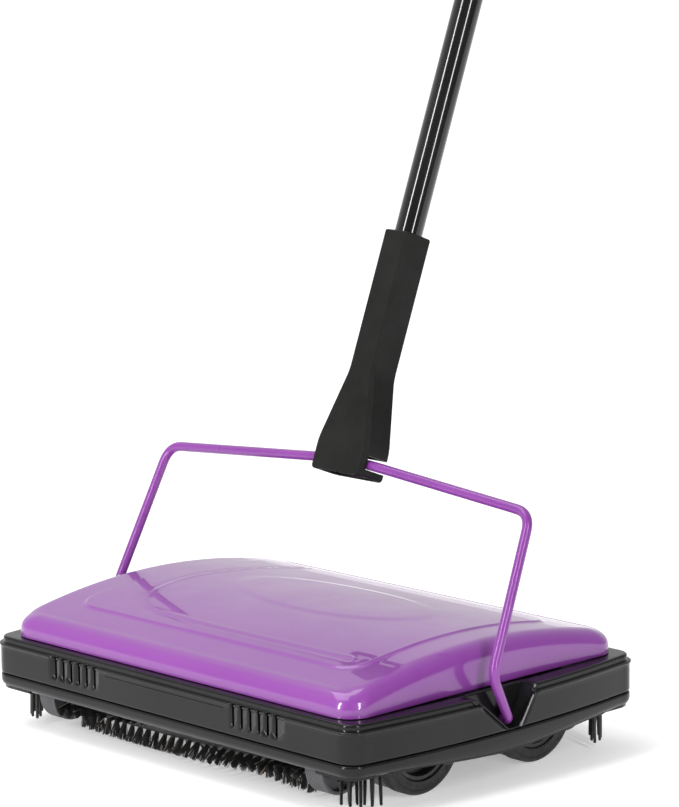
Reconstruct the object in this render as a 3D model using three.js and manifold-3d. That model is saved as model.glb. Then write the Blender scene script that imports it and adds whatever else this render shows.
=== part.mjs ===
// Carpet sweeper: low floor head with two brush rolls, four wheels, a hinged dust pan pair,
// a wire bail and a sectional push handle. Millimetres, +Z up, -Y is the front.
import * as THREE from "three";
import { ConvexGeometry } from "three/addons/geometries/ConvexGeometry.js";
import { mergeVertices } from "three/addons/utils/BufferGeometryUtils.js";
import Module from "manifold-3d";

const wasm = await Module();
wasm.setup();

// ---- driving dimensions: the head ----------------------------------------------------
const GAP = 0.3; // clearance between pieces that meet
const HEAD_HALF_W = 140; // half width of the head at its corners
const HEAD_HALF_D = 106; // half depth of the head
const SIDE_BOW = 6.8; // how far the short sides bulge at their middle
const CORNER_R = 11; // plan radius of the head's corners
const WALL = 2.4; // moulded wall
const PLATE = 2; // moulded flat plates
const Z_TRAY = 21; // underside of the lower tray
const Z_KEEL = 17; // lowest point of the tray band, at mid-side
const Z_SEAM = 29; // seam between tray and housing
const Z_RIM = 46; // top of the side wall
const RIM_FLARE = 0.7; // how far the rim stands out of the side wall
const Z_RING = 49.5; // top of the stepped ring
const RING_IN = 1.5; // step from the rim to the ring

// ---- the cover -----------------------------------------------------------------------
const LID_HALF_W = HEAD_HALF_W - 7.6; // at its lower edge
const LID_HALF_D = HEAD_HALF_D - 6.5;
const LID_PEAK = 73; // crown of the cover
const LID_EAVE = 62.5; // where the crown meets the shoulders
const LID_T = 0.9; // sheet
const LID_R = 9; // shoulder radius
const PANEL_HALF_W = LID_HALF_W - 24.4; // raised panel on the cover
const PANEL_HALF_D = LID_HALF_D - 25.5;
const PANEL_R = 14;
const PANEL_RISE = 0.8;
const TAB_X = LID_HALF_W / 2; // fixing tabs under the long edges
const TAB_W = 16;
const TAB_T = 2.8;
const TAB_REACH = 3.6;

// ---- wheels --------------------------------------------------------------------------
const WHEEL_R = 28.3;
const TYRE_OUT = HEAD_HALF_W - 14; // outer face of the tyres
const TYRE_W = 9.5;
const TYRE_BORE = 21;
const DRIVE_R = WHEEL_R - 0.8; // friction step inboard of the tyre
const DRIVE_IN = TYRE_OUT - 21.5; // its inner end
const AXLE_D = 5;

// ---- dust chamber and pans --------------------------------------------------------------
const BIN_HALF_W = DRIVE_IN - 6.5;
const ROLL_Y = HEAD_HALF_D - 22; // brush roll axis
const ROLL_Z = 20;
const BIN_HALF_D = ROLL_Y - 19;
const PAN_Z = 17.5; // underside of the pans
const PAN_T = 1.6;
const PAN_WALL_TOP = 27;
const HINGE_D = 3;
const HINGE_Z = PAN_Z + 2.1; // close to the floor's level, so that the pans swing clear
const KNUCKLE_R = HINGE_D / 2 + 1.8;
const KNUCKLES = 6;

// ---- brush rolls -------------------------------------------------------------------------
const WHEEL_Y = ROLL_Y - 41.6; // axle distance from the middle
const ROLL_CORE_R = 6.8;
const TUFT_R = 17.5;
const TUFT_ROWS = 5;
const TUFTS_PER_ROW = 7;
const DRUM_IN = BIN_HALF_W - 0.2;
const DRUM_OUT = DRUM_IN + 12.2;
const TUFT_HALF_L = DRUM_IN - 2.8;
const SHAFT_D = 4;
const SHAFT_HALF_L = DRUM_OUT + 5.5;
const CORNER_TIP_Z = 3.4; // lower ends of the corner bristles
const CORNER_TUFTS = 9;

// ---- screws that hold tray and housing together -------------------------------------------
const SCREW_X = BIN_HALF_W + 8.5;
const SCREW_Y = (WHEEL_Y - WHEEL_R) / 2 + 0.15; // midway between the wheels' edge and the middle
const SCREW_L = 14.6;

// ---- ventilation slots --------------------------------------------------------------------
const SLOT_W = 1.8;
const SLOT_PITCH = 6.4;
const SLOT_COUNT = 6; // in each of the two groups of a long wall
const SLOT_GROUP_X = HEAD_HALF_W / 2;
const SLOT_BOTTOM = 34.6;

// ---- bail -----------------------------------------------------------------------------------
const WIRE_D = 5.3;
const BAIL_TOP_X = HEAD_HALF_W - 1.5;
const BAIL_TOP = [23.3, 136.7]; // y, z of the cross bar's ends
const BAIL_RISE = 11; // how far the bar's middle is bent up
const KNEE_X = HEAD_HALF_W + 5.4;
const KNEE = [-12.4, 60];
const PIVOT_X = HEAD_HALF_W + 2.2;
const PIVOT = [3.2, 32.6];
const PIVOT_END_X = HEAD_HALF_W - 19;
const BEND_STEPS = 3;
const V_BACK_X = HEAD_HALF_W + SIDE_BOW - 10; // inner wall of the V recess in each short side
const V_TOP = [PIVOT[0] - 29.2, PIVOT[0] + 16.3]; // the recess's edges at the ring
const V_FOOT = [PIVOT[0] - 4.4, PIVOT[0] + 2.2]; // and at its floor
const V_FLOOR = Z_SEAM + 0.6;

// ---- handle ---------------------------------------------------------------------------------
const LEAN = 21.06; // degrees back from upright
const AXIS_Y = 71; // handle axis at z = AXIS_Z
const AXIS_Z = 250;
const SOCKET_HALF = 10; // half thickness of the socket
const SOCKET_NECK_HALF = 9.6;
const SOCKET_FOOT_HALF = 19.6;
const SOCKET_TOP = 14.2; // along the handle axis
const SOCKET_NECK = -62;
const SOCKET_FLARE = -102;
const SOCKET_END = -120.6;
const SOCKET_WALL = 2.2;
const SOCKET_CHAMFER = 1.6;
const TUBE_D = 15.3;
const TUBE_T = 0.8;
const TUBE_L = 268.5; // full-diameter length of one section
const TUBE_START = -54; // lower end of the first section
const NECK_D = TUBE_D - 1.2;
const NECK_L = 12.7;
const TAPER_L = 3.5;
const COLLAR_L = 5.8;
const THREAD_L = 11;
const THREAD_D = TUBE_D - 3.5;
const THREAD_TURNS = 3;
const GRIP_L = 118;
const GRIP_D = TUBE_D + 6.7;
const GRIP_RIBS = 4;
const EYE_R = 7.4; // hang cap eye, at the middle of its ring
const EYE_D = 4.6;

// ---- finishes --------------------------------------------------------------------
const finish = (color, roughness, metalness = 0) =>
  new THREE.MeshStandardMaterial({ color, roughness, metalness });
const PAINT = finish(0xa544c6, 0.18, 0.2);
const GLOSS = finish(0x1b1b1c, 0.25);
const SATIN = finish(0x161617, 0.5);
const GREY = finish(0x3a3a3e, 0.45);
const RUBBER = finish(0x111111, 0.85);
const BRISTLE = finish(0x0d0d0d, 0.7);
const STEEL = finish(0xb9bcc0, 0.3, 0.9);
const LACQUER = finish(0x141416, 0.2, 0.3);
const FOAM = finish(0x151515, 0.9);

// ---- helpers ---------------------------------------------------------------------
// A three.js geometry as a manifold solid.
function solid(geometry) {
  const g = geometry.index ? geometry.toNonIndexed() : geometry.clone();
  g.deleteAttribute("normal");
  g.deleteAttribute("uv");
  const m = mergeVertices(g, 1e-4);
  return new wasm.Manifold(
    new wasm.Mesh({
      numProp: 3,
      vertProperties: new Float32Array(m.attributes.position.array),
      triVerts: new Uint32Array(m.index.array),
    }),
  );
}

// A manifold solid as a named mesh.
function piece(name, body, material) {
  const m = body.getMesh();
  const pos = new Float32Array(m.numVert * 3);
  for (let i = 0; i < m.numVert; i++) {
    for (let k = 0; k < 3; k++) pos[3 * i + k] = m.vertProperties[m.numProp * i + k];
  }
  const g = new THREE.BufferGeometry();
  g.setAttribute("position", new THREE.BufferAttribute(pos, 3));
  g.setIndex(new THREE.BufferAttribute(new Uint32Array(m.triVerts), 1));
  g.computeVertexNormals();
  const mesh = new THREE.Mesh(g, material);
  mesh.name = name;
  return mesh;
}

const box = (x0, x1, y0, y1, z0, z1) =>
  solid(
    new THREE.BoxGeometry(x1 - x0, y1 - y0, z1 - z0).translate(
      (x0 + x1) / 2,
      (y0 + y1) / 2,
      (z0 + z1) / 2,
    ),
  );

// Round bar along X between x0 and x1, centred on (y, z).
const barX = (r, x0, x1, y, z, n = 24) =>
  solid(
    new THREE.CylinderGeometry(r, r, Math.abs(x1 - x0), n)
      .rotateZ(Math.PI / 2)
      .translate((x0 + x1) / 2, y, z),
  );

// Round bar along Z.
const barZ = (r, x, y, z0, z1, n = 20, rTop = r) =>
  solid(
    new THREE.CylinderGeometry(rTop, r, z1 - z0, n)
      .rotateX(Math.PI / 2)
      .translate(x, y, (z0 + z1) / 2),
  );

// Turned shape: profile of [radius, height] pairs closed on the axis, along +Z.
const turned = (profile, n = 28) =>
  solid(
    new THREE.LatheGeometry(
      profile.map(([r, z]) => new THREE.Vector2(r, z)),
      n,
    ).rotateX(Math.PI / 2),
  );

// Prism of a plan outline between two levels.
const prism = (points, z0, z1) =>
  solid(
    new THREE.ExtrudeGeometry(new THREE.Shape(points), {
      depth: z1 - z0,
      bevelEnabled: false,
    }).translate(0, 0, z0),
  );

// Prism of a (y, z) outline between x0 and x1.
const prismX = (points, x0, x1) =>
  solid(
    new THREE.ExtrudeGeometry(
      new THREE.Shape(points.map(([y, z]) => new THREE.Vector2(y, z))),
      { depth: x1 - x0, bevelEnabled: false },
    )
      .applyMatrix4(
        new THREE.Matrix4().set(0, 0, 1, 0, 1, 0, 0, 0, 0, 1, 0, 0, 0, 0, 0, 1),
      )
      .translate(x0, 0, 0),
  );

const union = (list) => wasm.Manifold.union(list);
const mirrorX = (body) => body.mirror([1, 0, 0]);
const mirrorY = (body) => body.mirror([0, 1, 0]);
const bothSides = (body) => union([body, mirrorX(body)]);
const bothEnds = (body) => union([body, mirrorY(body)]);
// A body made in the rear right quarter, repeated in all four.
const fourfold = (body) => bothEnds(bothSides(body));

// Plan outline of the head, moved inwards by `inset`; the short sides are bowed.
function headOutline(inset, arc = 3, side = 6) {
  const w = HEAD_HALF_W - inset;
  const d = HEAD_HALF_D - inset;
  const r = Math.max(CORNER_R - inset, 1);
  const half = [];
  for (let i = 0; i <= arc; i++) {
    const a = -Math.PI / 2 + (Math.PI / 2) * (i / arc);
    half.push([w - r + r * Math.cos(a), -d + r + r * Math.sin(a)]);
  }
  const yEnd = d - r;
  for (let i = 1; i < side; i++) {
    const y = -yEnd + (2 * yEnd * i) / side;
    half.push([w + SIDE_BOW * (1 - (y / yEnd) ** 2), y]);
  }
  for (let i = 0; i <= arc; i++) {
    const a = (Math.PI / 2) * (i / arc);
    half.push([w - r + r * Math.cos(a), d - r + r * Math.sin(a)]);
  }
  const other = half.map(([x, y]) => [-x, -y]);
  return [...half, ...other].map(([x, y]) => new THREE.Vector2(x, y));
}

// Rectangle with round corners, in plan.
function roundRect(w, d, r, n = 3) {
  const pts = [];
  for (let q = 0; q < 4; q++) {
    const cx = (q === 0 || q === 3 ? 1 : -1) * (w - r);
    const cy = (q < 2 ? 1 : -1) * (d - r);
    for (let i = 0; i <= n; i++) {
      const a = (Math.PI / 2) * (q + i / n);
      pts.push(new THREE.Vector2(cx + r * Math.cos(a), cy + r * Math.sin(a)));
    }
  }
  return pts;
}

const parts = [];

// ---- cover ------------------------------------------------------------------------
// Height of the crown at y, for a cover whose surface is lowered by `drop`.
const crownZ = (y, drop) =>
  LID_PEAK - drop - (LID_PEAK - LID_EAVE) * (Math.abs(y) / (LID_HALF_D - LID_R)) ** 2;

// Cross-section (y, z) of the cover, lowered by `drop` and narrowed by `inset`.
function crownProfile(drop, inset, n) {
  const d = LID_HALF_D - inset;
  const r = LID_R;
  const yEave = LID_HALF_D - LID_R;
  const pts = [[-d, Z_RING - 12]];
  pts.push([-d, crownZ(yEave, drop) - r]);
  for (let i = 1; i < 4; i++) {
    const a = (Math.PI / 2) * (i / 4);
    pts.push([-yEave - (d - yEave) * Math.cos(a), crownZ(yEave, drop) - r + r * Math.sin(a)]);
  }
  for (let i = 0; i <= n; i++) {
    const y = -yEave + (2 * yEave * i) / n;
    pts.push([y, crownZ(y, drop)]);
  }
  for (let i = 3; i >= 1; i--) {
    const a = (Math.PI / 2) * (i / 4);
    pts.push([yEave + (d - yEave) * Math.cos(a), crownZ(yEave, drop) - r + r * Math.sin(a)]);
  }
  pts.push([d, crownZ(yEave, drop) - r]);
  pts.push([d, Z_RING - 12]);
  return pts;
}

// Crowned block with shoulders rounded at both ends as well: the convex skin round a row of
// cross-sections that shrink towards the ends.
function crownBlock(drop, inset, segments = 3) {
  const r = LID_R - 0.5 * inset;
  const points = [];
  for (let i = 0; i <= segments; i++) {
    const a = (Math.PI / 2) * (i / segments);
    const x = LID_HALF_W - inset - r + r * Math.sin(a);
    const shrink = r * (1 - Math.cos(a));
    for (const [y, z] of crownProfile(drop, inset + shrink, 10)) {
      const top = z > Z_RING - 11 ? z - shrink : z;
      points.push(new THREE.Vector3(x, y, top), new THREE.Vector3(-x, y, top));
    }
  }
  return solid(new ConvexGeometry(points));
}

const aboveRing = box(-200, 200, -200, 200, Z_RING + GAP, 120);
const coverOuter = crownBlock(0, 0).intersect(aboveRing);
const panelBlock = crownBlock(-PANEL_RISE, 0).intersect(
  prism(roundRect(PANEL_HALF_W, PANEL_HALF_D, PANEL_R), Z_RING + 5, 120),
);
const coverInner = crownBlock(LID_T, LID_T).intersect(
  box(-200, 200, -200, 200, Z_RING - 1, 120),
);
// Two fixing tabs per long edge reach down inside the ring.
const tabBlock = (grow, below) =>
  fourfold(
    box(
      TAB_X - TAB_W / 2 - grow,
      TAB_X + TAB_W / 2 + grow,
      LID_HALF_D - 0.4 - TAB_T - grow,
      LID_HALF_D - 0.4 + grow,
      Z_RING - below,
      Z_RING + 3,
    ),
  );
const cover = coverOuter.add(panelBlock).subtract(coverInner).add(tabBlock(0, TAB_REACH));
parts.push(piece("top_cover", cover, PAINT));

// ---- upper housing ------------------------------------------------------------------
// V recess in the middle of each short side: (y, z) corners, open to the top.
const V_SLOPE = 1.35; // how much wider a wall stands across the slanted flanks
const vShape = (grow) => [
  [V_TOP[0] - V_SLOPE * grow, Z_RING + 1],
  [V_FOOT[0] - V_SLOPE * grow, V_FLOOR - grow],
  [V_FOOT[1] + V_SLOPE * grow, V_FLOOR - grow],
  [V_TOP[1] + V_SLOPE * grow, Z_RING + 1],
];
const WIDE = HEAD_HALF_W + SIDE_BOW + 10; // past the head's sides
const BAY_TOP = LID_PEAK; // cuts through the deck end here
const shell = union([
  prism(headOutline(0), Z_SEAM + GAP, Z_RIM - 2),
  prism(headOutline(-RIM_FLARE), Z_RIM - 2.2, Z_RIM),
  prism(headOutline(RING_IN), Z_RIM - 0.2, Z_RING - 1),
  prism(headOutline(RING_IN + 0.8), Z_RING - 1.2, Z_RING),
]);
const hollow = prism(headOutline(WALL), Z_SEAM - 2, Z_RING - WALL);
const pocket = prismX(vShape(PLATE), V_BACK_X - PLATE, WIDE).intersect(
  prism(headOutline(0), Z_SEAM + GAP, Z_RING),
);
const binSide = box(
  BIN_HALF_W,
  BIN_HALF_W + PLATE,
  -BIN_HALF_D,
  BIN_HALF_D,
  Z_SEAM + GAP,
  Z_RING - 1,
);
const binEnd = box(
  -BIN_HALF_W - PLATE,
  BIN_HALF_W + PLATE,
  BIN_HALF_D,
  BIN_HALF_D + PLATE,
  ROLL_Z + TUFT_R - 1.5,
  Z_RING - 1,
);
const boss = barZ(3.6, SCREW_X, SCREW_Y, Z_SEAM + GAP, Z_RING - 1, 10);
const bossBore = barZ(1.75, SCREW_X, SCREW_Y, Z_SEAM - 1, Z_TRAY + 0.6 + SCREW_L + 1, 8);
// Ventilation slots in the long walls, in two groups per wall.
const slotList = [];
for (let i = 0; i < SLOT_COUNT; i++) {
  const x = SLOT_GROUP_X + (i - (SLOT_COUNT - 1) / 2) * SLOT_PITCH;
  const y = HEAD_HALF_D - WALL - 0.6;
  slotList.push(box(x - SLOT_W / 2, x + SLOT_W / 2, y, y + 6, SLOT_BOTTOM, Z_RIM + 0.4));
}
const deckOpening = box(-BIN_HALF_W, BIN_HALF_W, -BIN_HALF_D, BIN_HALF_D, Z_RIM - 6, BAY_TOP);
const bayOpening = box(
  DRIVE_IN - 2,
  TYRE_OUT + 2.5,
  WHEEL_Y - WHEEL_R - 1.7,
  WHEEL_Y + WHEEL_R + 1.7,
  Z_RIM - 6,
  BAY_TOP,
);
const wireHole = barX(WIRE_D / 2 + GAP, V_BACK_X - PLATE - 3, V_BACK_X + 3, ...PIVOT, 16);
const housing = shell
  .subtract(hollow)
  .add(union([bothSides(pocket), bothSides(binSide), bothEnds(binEnd), fourfold(boss)]))
  .subtract(
    union([
      bothSides(prismX(vShape(0), V_BACK_X, WIDE)),
      bothSides(wireHole),
      deckOpening,
      fourfold(bayOpening),
      fourfold(union(slotList)),
      fourfold(bossBore),
      tabBlock(GAP, TAB_REACH + 1.4),
    ]),
  );
parts.push(piece("upper_housing", housing, GLOSS));

// ---- lower tray ---------------------------------------------------------------------
const BAND_IN = 6; // how far the band curls in under the head
const band = union([
  prism(headOutline(0), Z_TRAY + 4.5, Z_SEAM),
  prism(headOutline(1.4), Z_TRAY + 2, Z_TRAY + 4.7),
  prism(headOutline(3.6), Z_TRAY + 0.6, Z_TRAY + 2.2),
  prism(headOutline(BAND_IN), Z_TRAY, Z_TRAY + 0.8),
]);
// The band of each short side hangs lower towards its middle.
const keelShape = [
  [-HEAD_HALF_D + 14, Z_TRAY + 3],
  [-HEAD_HALF_D + 28, Z_TRAY + 0.2],
  [-8, Z_KEEL],
  [12, Z_KEEL],
  [HEAD_HALF_D - 28, Z_TRAY + 0.2],
  [HEAD_HALF_D - 14, Z_TRAY + 3],
];
const keel = prismX(keelShape, HEAD_HALF_W - 20, WIDE)
  .intersect(prism(headOutline(1.2), Z_KEEL - 1, Z_TRAY + 3))
  .subtract(prism(headOutline(BAND_IN - 0.8), Z_KEEL - 2, Z_TRAY));
const UNDER = Z_KEEL - 4; // cuts through the floor start here
const OVER = Z_SEAM + 12; // cuts from above end here
// Upstand beside the pans, in line with the chamber wall.
const upstand = box(
  BIN_HALF_W + GAP,
  BIN_HALF_W + 3,
  -BIN_HALF_D + 1,
  BIN_HALF_D - 1,
  Z_TRAY,
  Z_SEAM - 0.2,
);
// Axle carriers inboard and outboard of each wheel: the axle drops in from above.
const innerCarrier = box(
  BIN_HALF_W + GAP,
  BIN_HALF_W + 4.5,
  WHEEL_Y - 6,
  WHEEL_Y + 6,
  Z_TRAY,
  Z_SEAM - 0.2,
);
const outerCarrier = box(
  TYRE_OUT + 2.6,
  TYRE_OUT + 7,
  WHEEL_Y - 6,
  WHEEL_Y + 6,
  Z_TRAY,
  WHEEL_R + 8.7,
);
const rollBracket = box(
  DRUM_OUT + 1.4,
  DRUM_OUT + 4.2,
  ROLL_Y - 4.6,
  ROLL_Y + 4.6,
  ROLL_Z - 6.4,
  Z_SEAM - 0.2,
);
// Plate that ties the roll bracket to the band at the corner.
const cornerPlate = box(
  DRUM_OUT + 1.4,
  HEAD_HALF_W - 1,
  Math.max(ROLL_Y - 9, WHEEL_Y + WHEEL_R + 1.6), // clear of the wheel
  HEAD_HALF_D - 1,
  Z_TRAY,
  Z_TRAY + 5,
).intersect(prism(headOutline(1), Z_TRAY, Z_SEAM));
const screwPost = barZ(4.6, SCREW_X, SCREW_Y, Z_TRAY, Z_SEAM - 0.1, 10);
const screwHole = union([
  barZ(1.95, SCREW_X, SCREW_Y, Z_TRAY - 1, Z_SEAM + 1, 8),
  barZ(3.5, SCREW_X, SCREW_Y, UNDER, Z_TRAY + 3, 10),
]);
// Slot that a pin of diameter d drops into, from above, down to a round seat.
const pinSeat = (d, x0, x1, y, z) =>
  union([
    barX(d / 2 + GAP, x0, x1, y, z, 10),
    box(x0, x1, y - d / 2 - GAP, y + d / 2 + GAP, z, OVER),
  ]);
const rollOpening = box(
  -DRUM_OUT - 1,
  DRUM_OUT + 1,
  BIN_HALF_D - 0.2,
  HEAD_HALF_D - WALL - 0.4,
  UNDER,
  OVER,
);
const binOpening = box(-BIN_HALF_W, BIN_HALF_W, -BIN_HALF_D, BIN_HALF_D, UNDER, OVER);
const wheelOpening = box(
  DRIVE_IN - 1.6,
  TYRE_OUT + 2,
  WHEEL_Y - WHEEL_R - 1.6,
  WHEEL_Y + WHEEL_R + 1.6,
  UNDER,
  OVER,
);
// Corner brush seat: an arc-shaped pocket inside each corner.
const ARC = [HEAD_HALF_W - 21.5, HEAD_HALF_D - 27]; // centre of the arc, from the middle
const ARC_R = 12.5; // bristles
const HOLDER_R = [ARC_R - 3.2, ARC_R + 3.2]; // inner and outer radius of the holder
function holderPlan(grow) {
  const from = -0.02 - grow / ARC_R;
  const to = Math.PI / 2 + 0.05 + grow / ARC_R;
  const steps = 5;
  const rim = (r) => {
    const row = [];
    for (let i = 0; i <= steps; i++) {
      const a = from + ((to - from) * i) / steps;
      row.push(new THREE.Vector2(ARC[0] + r * Math.cos(a), ARC[1] + r * Math.sin(a)));
    }
    return row;
  };
  return [...rim(HOLDER_R[1] + grow), ...rim(HOLDER_R[0] - grow).reverse()];
}
const brushSeat = prism(holderPlan(GAP), Z_TRAY - 2, Z_TRAY + 3);
// Lug that carries the end of the pans' hinge rod.
const hingeLug = box(BIN_HALF_W + GAP, BIN_HALF_W + 3, -4.5, 4.5, HINGE_Z - 3.2, Z_TRAY + 1);
const pinCuts = union([
  pinSeat(AXLE_D, BIN_HALF_W - 1, TYRE_OUT + 5.4, WHEEL_Y, WHEEL_R),
  pinSeat(SHAFT_D, DRUM_OUT + 1, DRUM_OUT + 6, ROLL_Y, ROLL_Z),
]);
const tray = band
  .subtract(prism(headOutline(WALL), Z_TRAY + PLATE, Z_SEAM + 1))
  .add(bothSides(keel))
  .subtract(union([bothEnds(rollOpening), binOpening, fourfold(wheelOpening)]))
  .add(bothSides(union([upstand, hingeLug])))
  .add(fourfold(union([innerCarrier, outerCarrier, rollBracket, cornerPlate, screwPost])))
  .subtract(fourfold(union([pinCuts, screwHole, brushSeat])))
  .subtract(pinSeat(HINGE_D, -BIN_HALF_W - 2.2, BIN_HALF_W + 2.2, 0, HINGE_Z));
parts.push(piece("lower_tray", tray, GLOSS));

// ---- corner brushes -----------------------------------------------------------------
function cornerBrush() {
  const list = [prism(holderPlan(0), Z_TRAY + 0.2, Z_TRAY + 3 - GAP)];
  for (let i = 0; i < CORNER_TUFTS; i++) {
    const a = 0.06 + ((Math.PI / 2 - 0.08) * i) / (CORNER_TUFTS - 1);
    const x = ARC[0] + ARC_R * Math.cos(a);
    const y = ARC[1] + ARC_R * Math.sin(a);
    list.push(barZ(0.85, x, y, CORNER_TIP_Z, Z_TRAY + 1, 4, 1.1));
  }
  return union(list);
}
const corner = cornerBrush();
parts.push(piece("corner_brush_rear_right", corner, BRISTLE));
parts.push(piece("corner_brush_rear_left", mirrorX(corner), BRISTLE));
parts.push(piece("corner_brush_front_right", mirrorY(corner), BRISTLE));
parts.push(piece("corner_brush_front_left", mirrorX(mirrorY(corner)), BRISTLE));

// ---- wheels ---------------------------------------------------------------------------
// Profiles run along +Z and are then laid along X, outer face at TYRE_OUT.
const layX = (body) => body.rotate([0, 90, 0]);
const tyre = turned(
  [
    [TYRE_BORE, 0],
    [WHEEL_R - 0.8, 0],
    [WHEEL_R, 0.9],
    [WHEEL_R, TYRE_W - 1.2],
    [WHEEL_R - 1, TYRE_W],
    [TYRE_BORE, TYRE_W],
    [TYRE_BORE, 0],
  ],
  24,
);
const tyreAt = layX(tyre).translate([TYRE_OUT - TYRE_W, 0, WHEEL_R]);
const STEP_L = TYRE_OUT - TYRE_W - GAP - DRIVE_IN; // length of the friction step
const HUB_L = TYRE_OUT - 1 - DRIVE_IN; // inner end of the step to the hub's outer rim
const hubDisc = turned(
  [
    [0, 0],
    [DRIVE_R, 0],
    [DRIVE_R, STEP_L],
    [TYRE_BORE - GAP, STEP_L],
    [TYRE_BORE - GAP, HUB_L],
    [TYRE_BORE - 2.6, HUB_L],
    [TYRE_BORE - 3, HUB_L - 5],
    [6, HUB_L - 5.6],
    [5.4, HUB_L - 0.6],
    [0, HUB_L - 0.6],
  ],
  20,
);
const hubHollow = turned(
  [
    [5.4, -1],
    [DRIVE_R - 2, -1],
    [DRIVE_R - 2, STEP_L - 1.8],
    [TYRE_BORE - 1.6, STEP_L - 1.8],
    [TYRE_BORE - 4.4, HUB_L - 7.4],
    [5.4, HUB_L - 7.8],
    [5.4, -1],
  ],
  20,
);
const HUB_RIBS = 5;
const hubRibs = [];
for (let i = 0; i < HUB_RIBS; i++) {
  const rib = box(4.6, TYRE_BORE - 2.8, -0.8, 0.8, HUB_L - 6.4, HUB_L - 2.4);
  hubRibs.push(rib.rotate([0, 0, (360 * i) / HUB_RIBS + 18]));
}
const hub = union([hubDisc.subtract(hubHollow), ...hubRibs]).subtract(
  barZ(AXLE_D / 2 + GAP, 0, 0, -3, HUB_L + 9, 12),
);
const hubAt = layX(hub).translate([DRIVE_IN, 0, WHEEL_R]);
const axleAt = barX(AXLE_D / 2, BIN_HALF_W + PLATE + 0.4, TYRE_OUT + 5.1, 0, WHEEL_R, 16);
const SIDES = [["left", -1], ["right", 1]];
const ENDS = [["front", -1], ["rear", 1]];
for (const [side, sx] of SIDES) {
  for (const [end, sy] of ENDS) {
    const place = (body) => {
      const moved = body.translate([0, WHEEL_Y * sy, 0]);
      return sx < 0 ? mirrorX(moved) : moved;
    };
    parts.push(piece(`tyre_${end}_${side}`, place(tyreAt), RUBBER));
    parts.push(piece(`wheel_hub_${end}_${side}`, place(hubAt), SATIN));
    parts.push(piece(`axle_${end}_${side}`, place(axleAt), STEEL));
  }
}

// ---- brush rolls -----------------------------------------------------------------------
const coreAt = barX(ROLL_CORE_R, -DRUM_IN + GAP, DRUM_IN - GAP, 0, 0, 16).subtract(
  barX(SHAFT_D / 2 + GAP, -DRUM_IN, DRUM_IN, 0, 0, 10),
);
// The drum is turned by the wheel's friction step, so its radius is what is left between them.
const axisDistance = Math.hypot(ROLL_Y - WHEEL_Y, WHEEL_R - ROLL_Z);
const DRUM_R = axisDistance - DRIVE_R - GAP;
const drumRecess = barX(DRUM_R - 2.2, DRUM_OUT - 3, DRUM_OUT + 1, 0, 0, 14).subtract(
  barX(4.4, DRUM_OUT - 4, DRUM_OUT + 2, 0, 0, 10),
);
const drumAt = barX(DRUM_R, DRUM_IN, DRUM_OUT, 0, 0, 20)
  .subtract(barX(SHAFT_D / 2 + GAP, DRUM_IN - 1, DRUM_OUT + 1, 0, 0, 10))
  .subtract(drumRecess);
const shaftAt = barX(SHAFT_D / 2, -SHAFT_HALF_L, SHAFT_HALF_L, 0, 0, 12);
const SLEEVE_R = ROLL_CORE_R + 1.5; // outside of the carrier that the tufts stand in
const TWIST = 0.45; // degrees that a tuft row turns per mm along the roll
// Bristles: a thin carrier sleeve with rows of fan-shaped tufts, twisted round the core.
function bristles(twistSign) {
  const sleeveHalf = TUFT_HALF_L + 1.5;
  const sleeve = barX(SLEEVE_R, -sleeveHalf, sleeveHalf, 0, 0, 14).subtract(
    barX(ROLL_CORE_R + GAP + 0.2, -sleeveHalf - 2, sleeveHalf + 2, 0, 0, 14),
  );
  const list = [sleeve];
  const pitch = (2 * TUFT_HALF_L) / TUFTS_PER_ROW;
  const root = SLEEVE_R - 0.7;
  for (let row = 0; row < TUFT_ROWS; row++) {
    for (let i = 0; i < TUFTS_PER_ROW; i++) {
      const x = -TUFT_HALF_L + pitch * (i + (row % 2 ? 0.75 : 0.25));
      const turn = (360 * row) / TUFT_ROWS + twistSign * x * TWIST;
      const tuft = solid(
        new THREE.CylinderGeometry(2.7, 1.2, TUFT_R - root, 4)
          .rotateX(Math.PI / 2)
          .translate(0, 0, (TUFT_R + root) / 2),
      );
      list.push(tuft.rotate([turn, 0, 0]).translate([x, 0, 0]));
    }
  }
  return union(list).intersect(barX(TUFT_R + 3, -TUFT_HALF_L - 2.4, TUFT_HALF_L + 2.4, 0, 0, 8));
}
for (const [end, sy] of ENDS) {
  const place = (body) => body.translate([0, sy * ROLL_Y, ROLL_Z]);
  parts.push(piece(`roll_core_${end}`, place(coreAt), SATIN));
  parts.push(piece(`roll_bristles_${end}`, place(bristles(-sy)), BRISTLE));
  parts.push(piece(`roll_shaft_${end}`, place(shaftAt), STEEL));
  parts.push(piece(`roll_drum_${end}_right`, place(drumAt), GREY));
  parts.push(piece(`roll_drum_${end}_left`, place(mirrorX(drumAt)), GREY));
}

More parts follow.
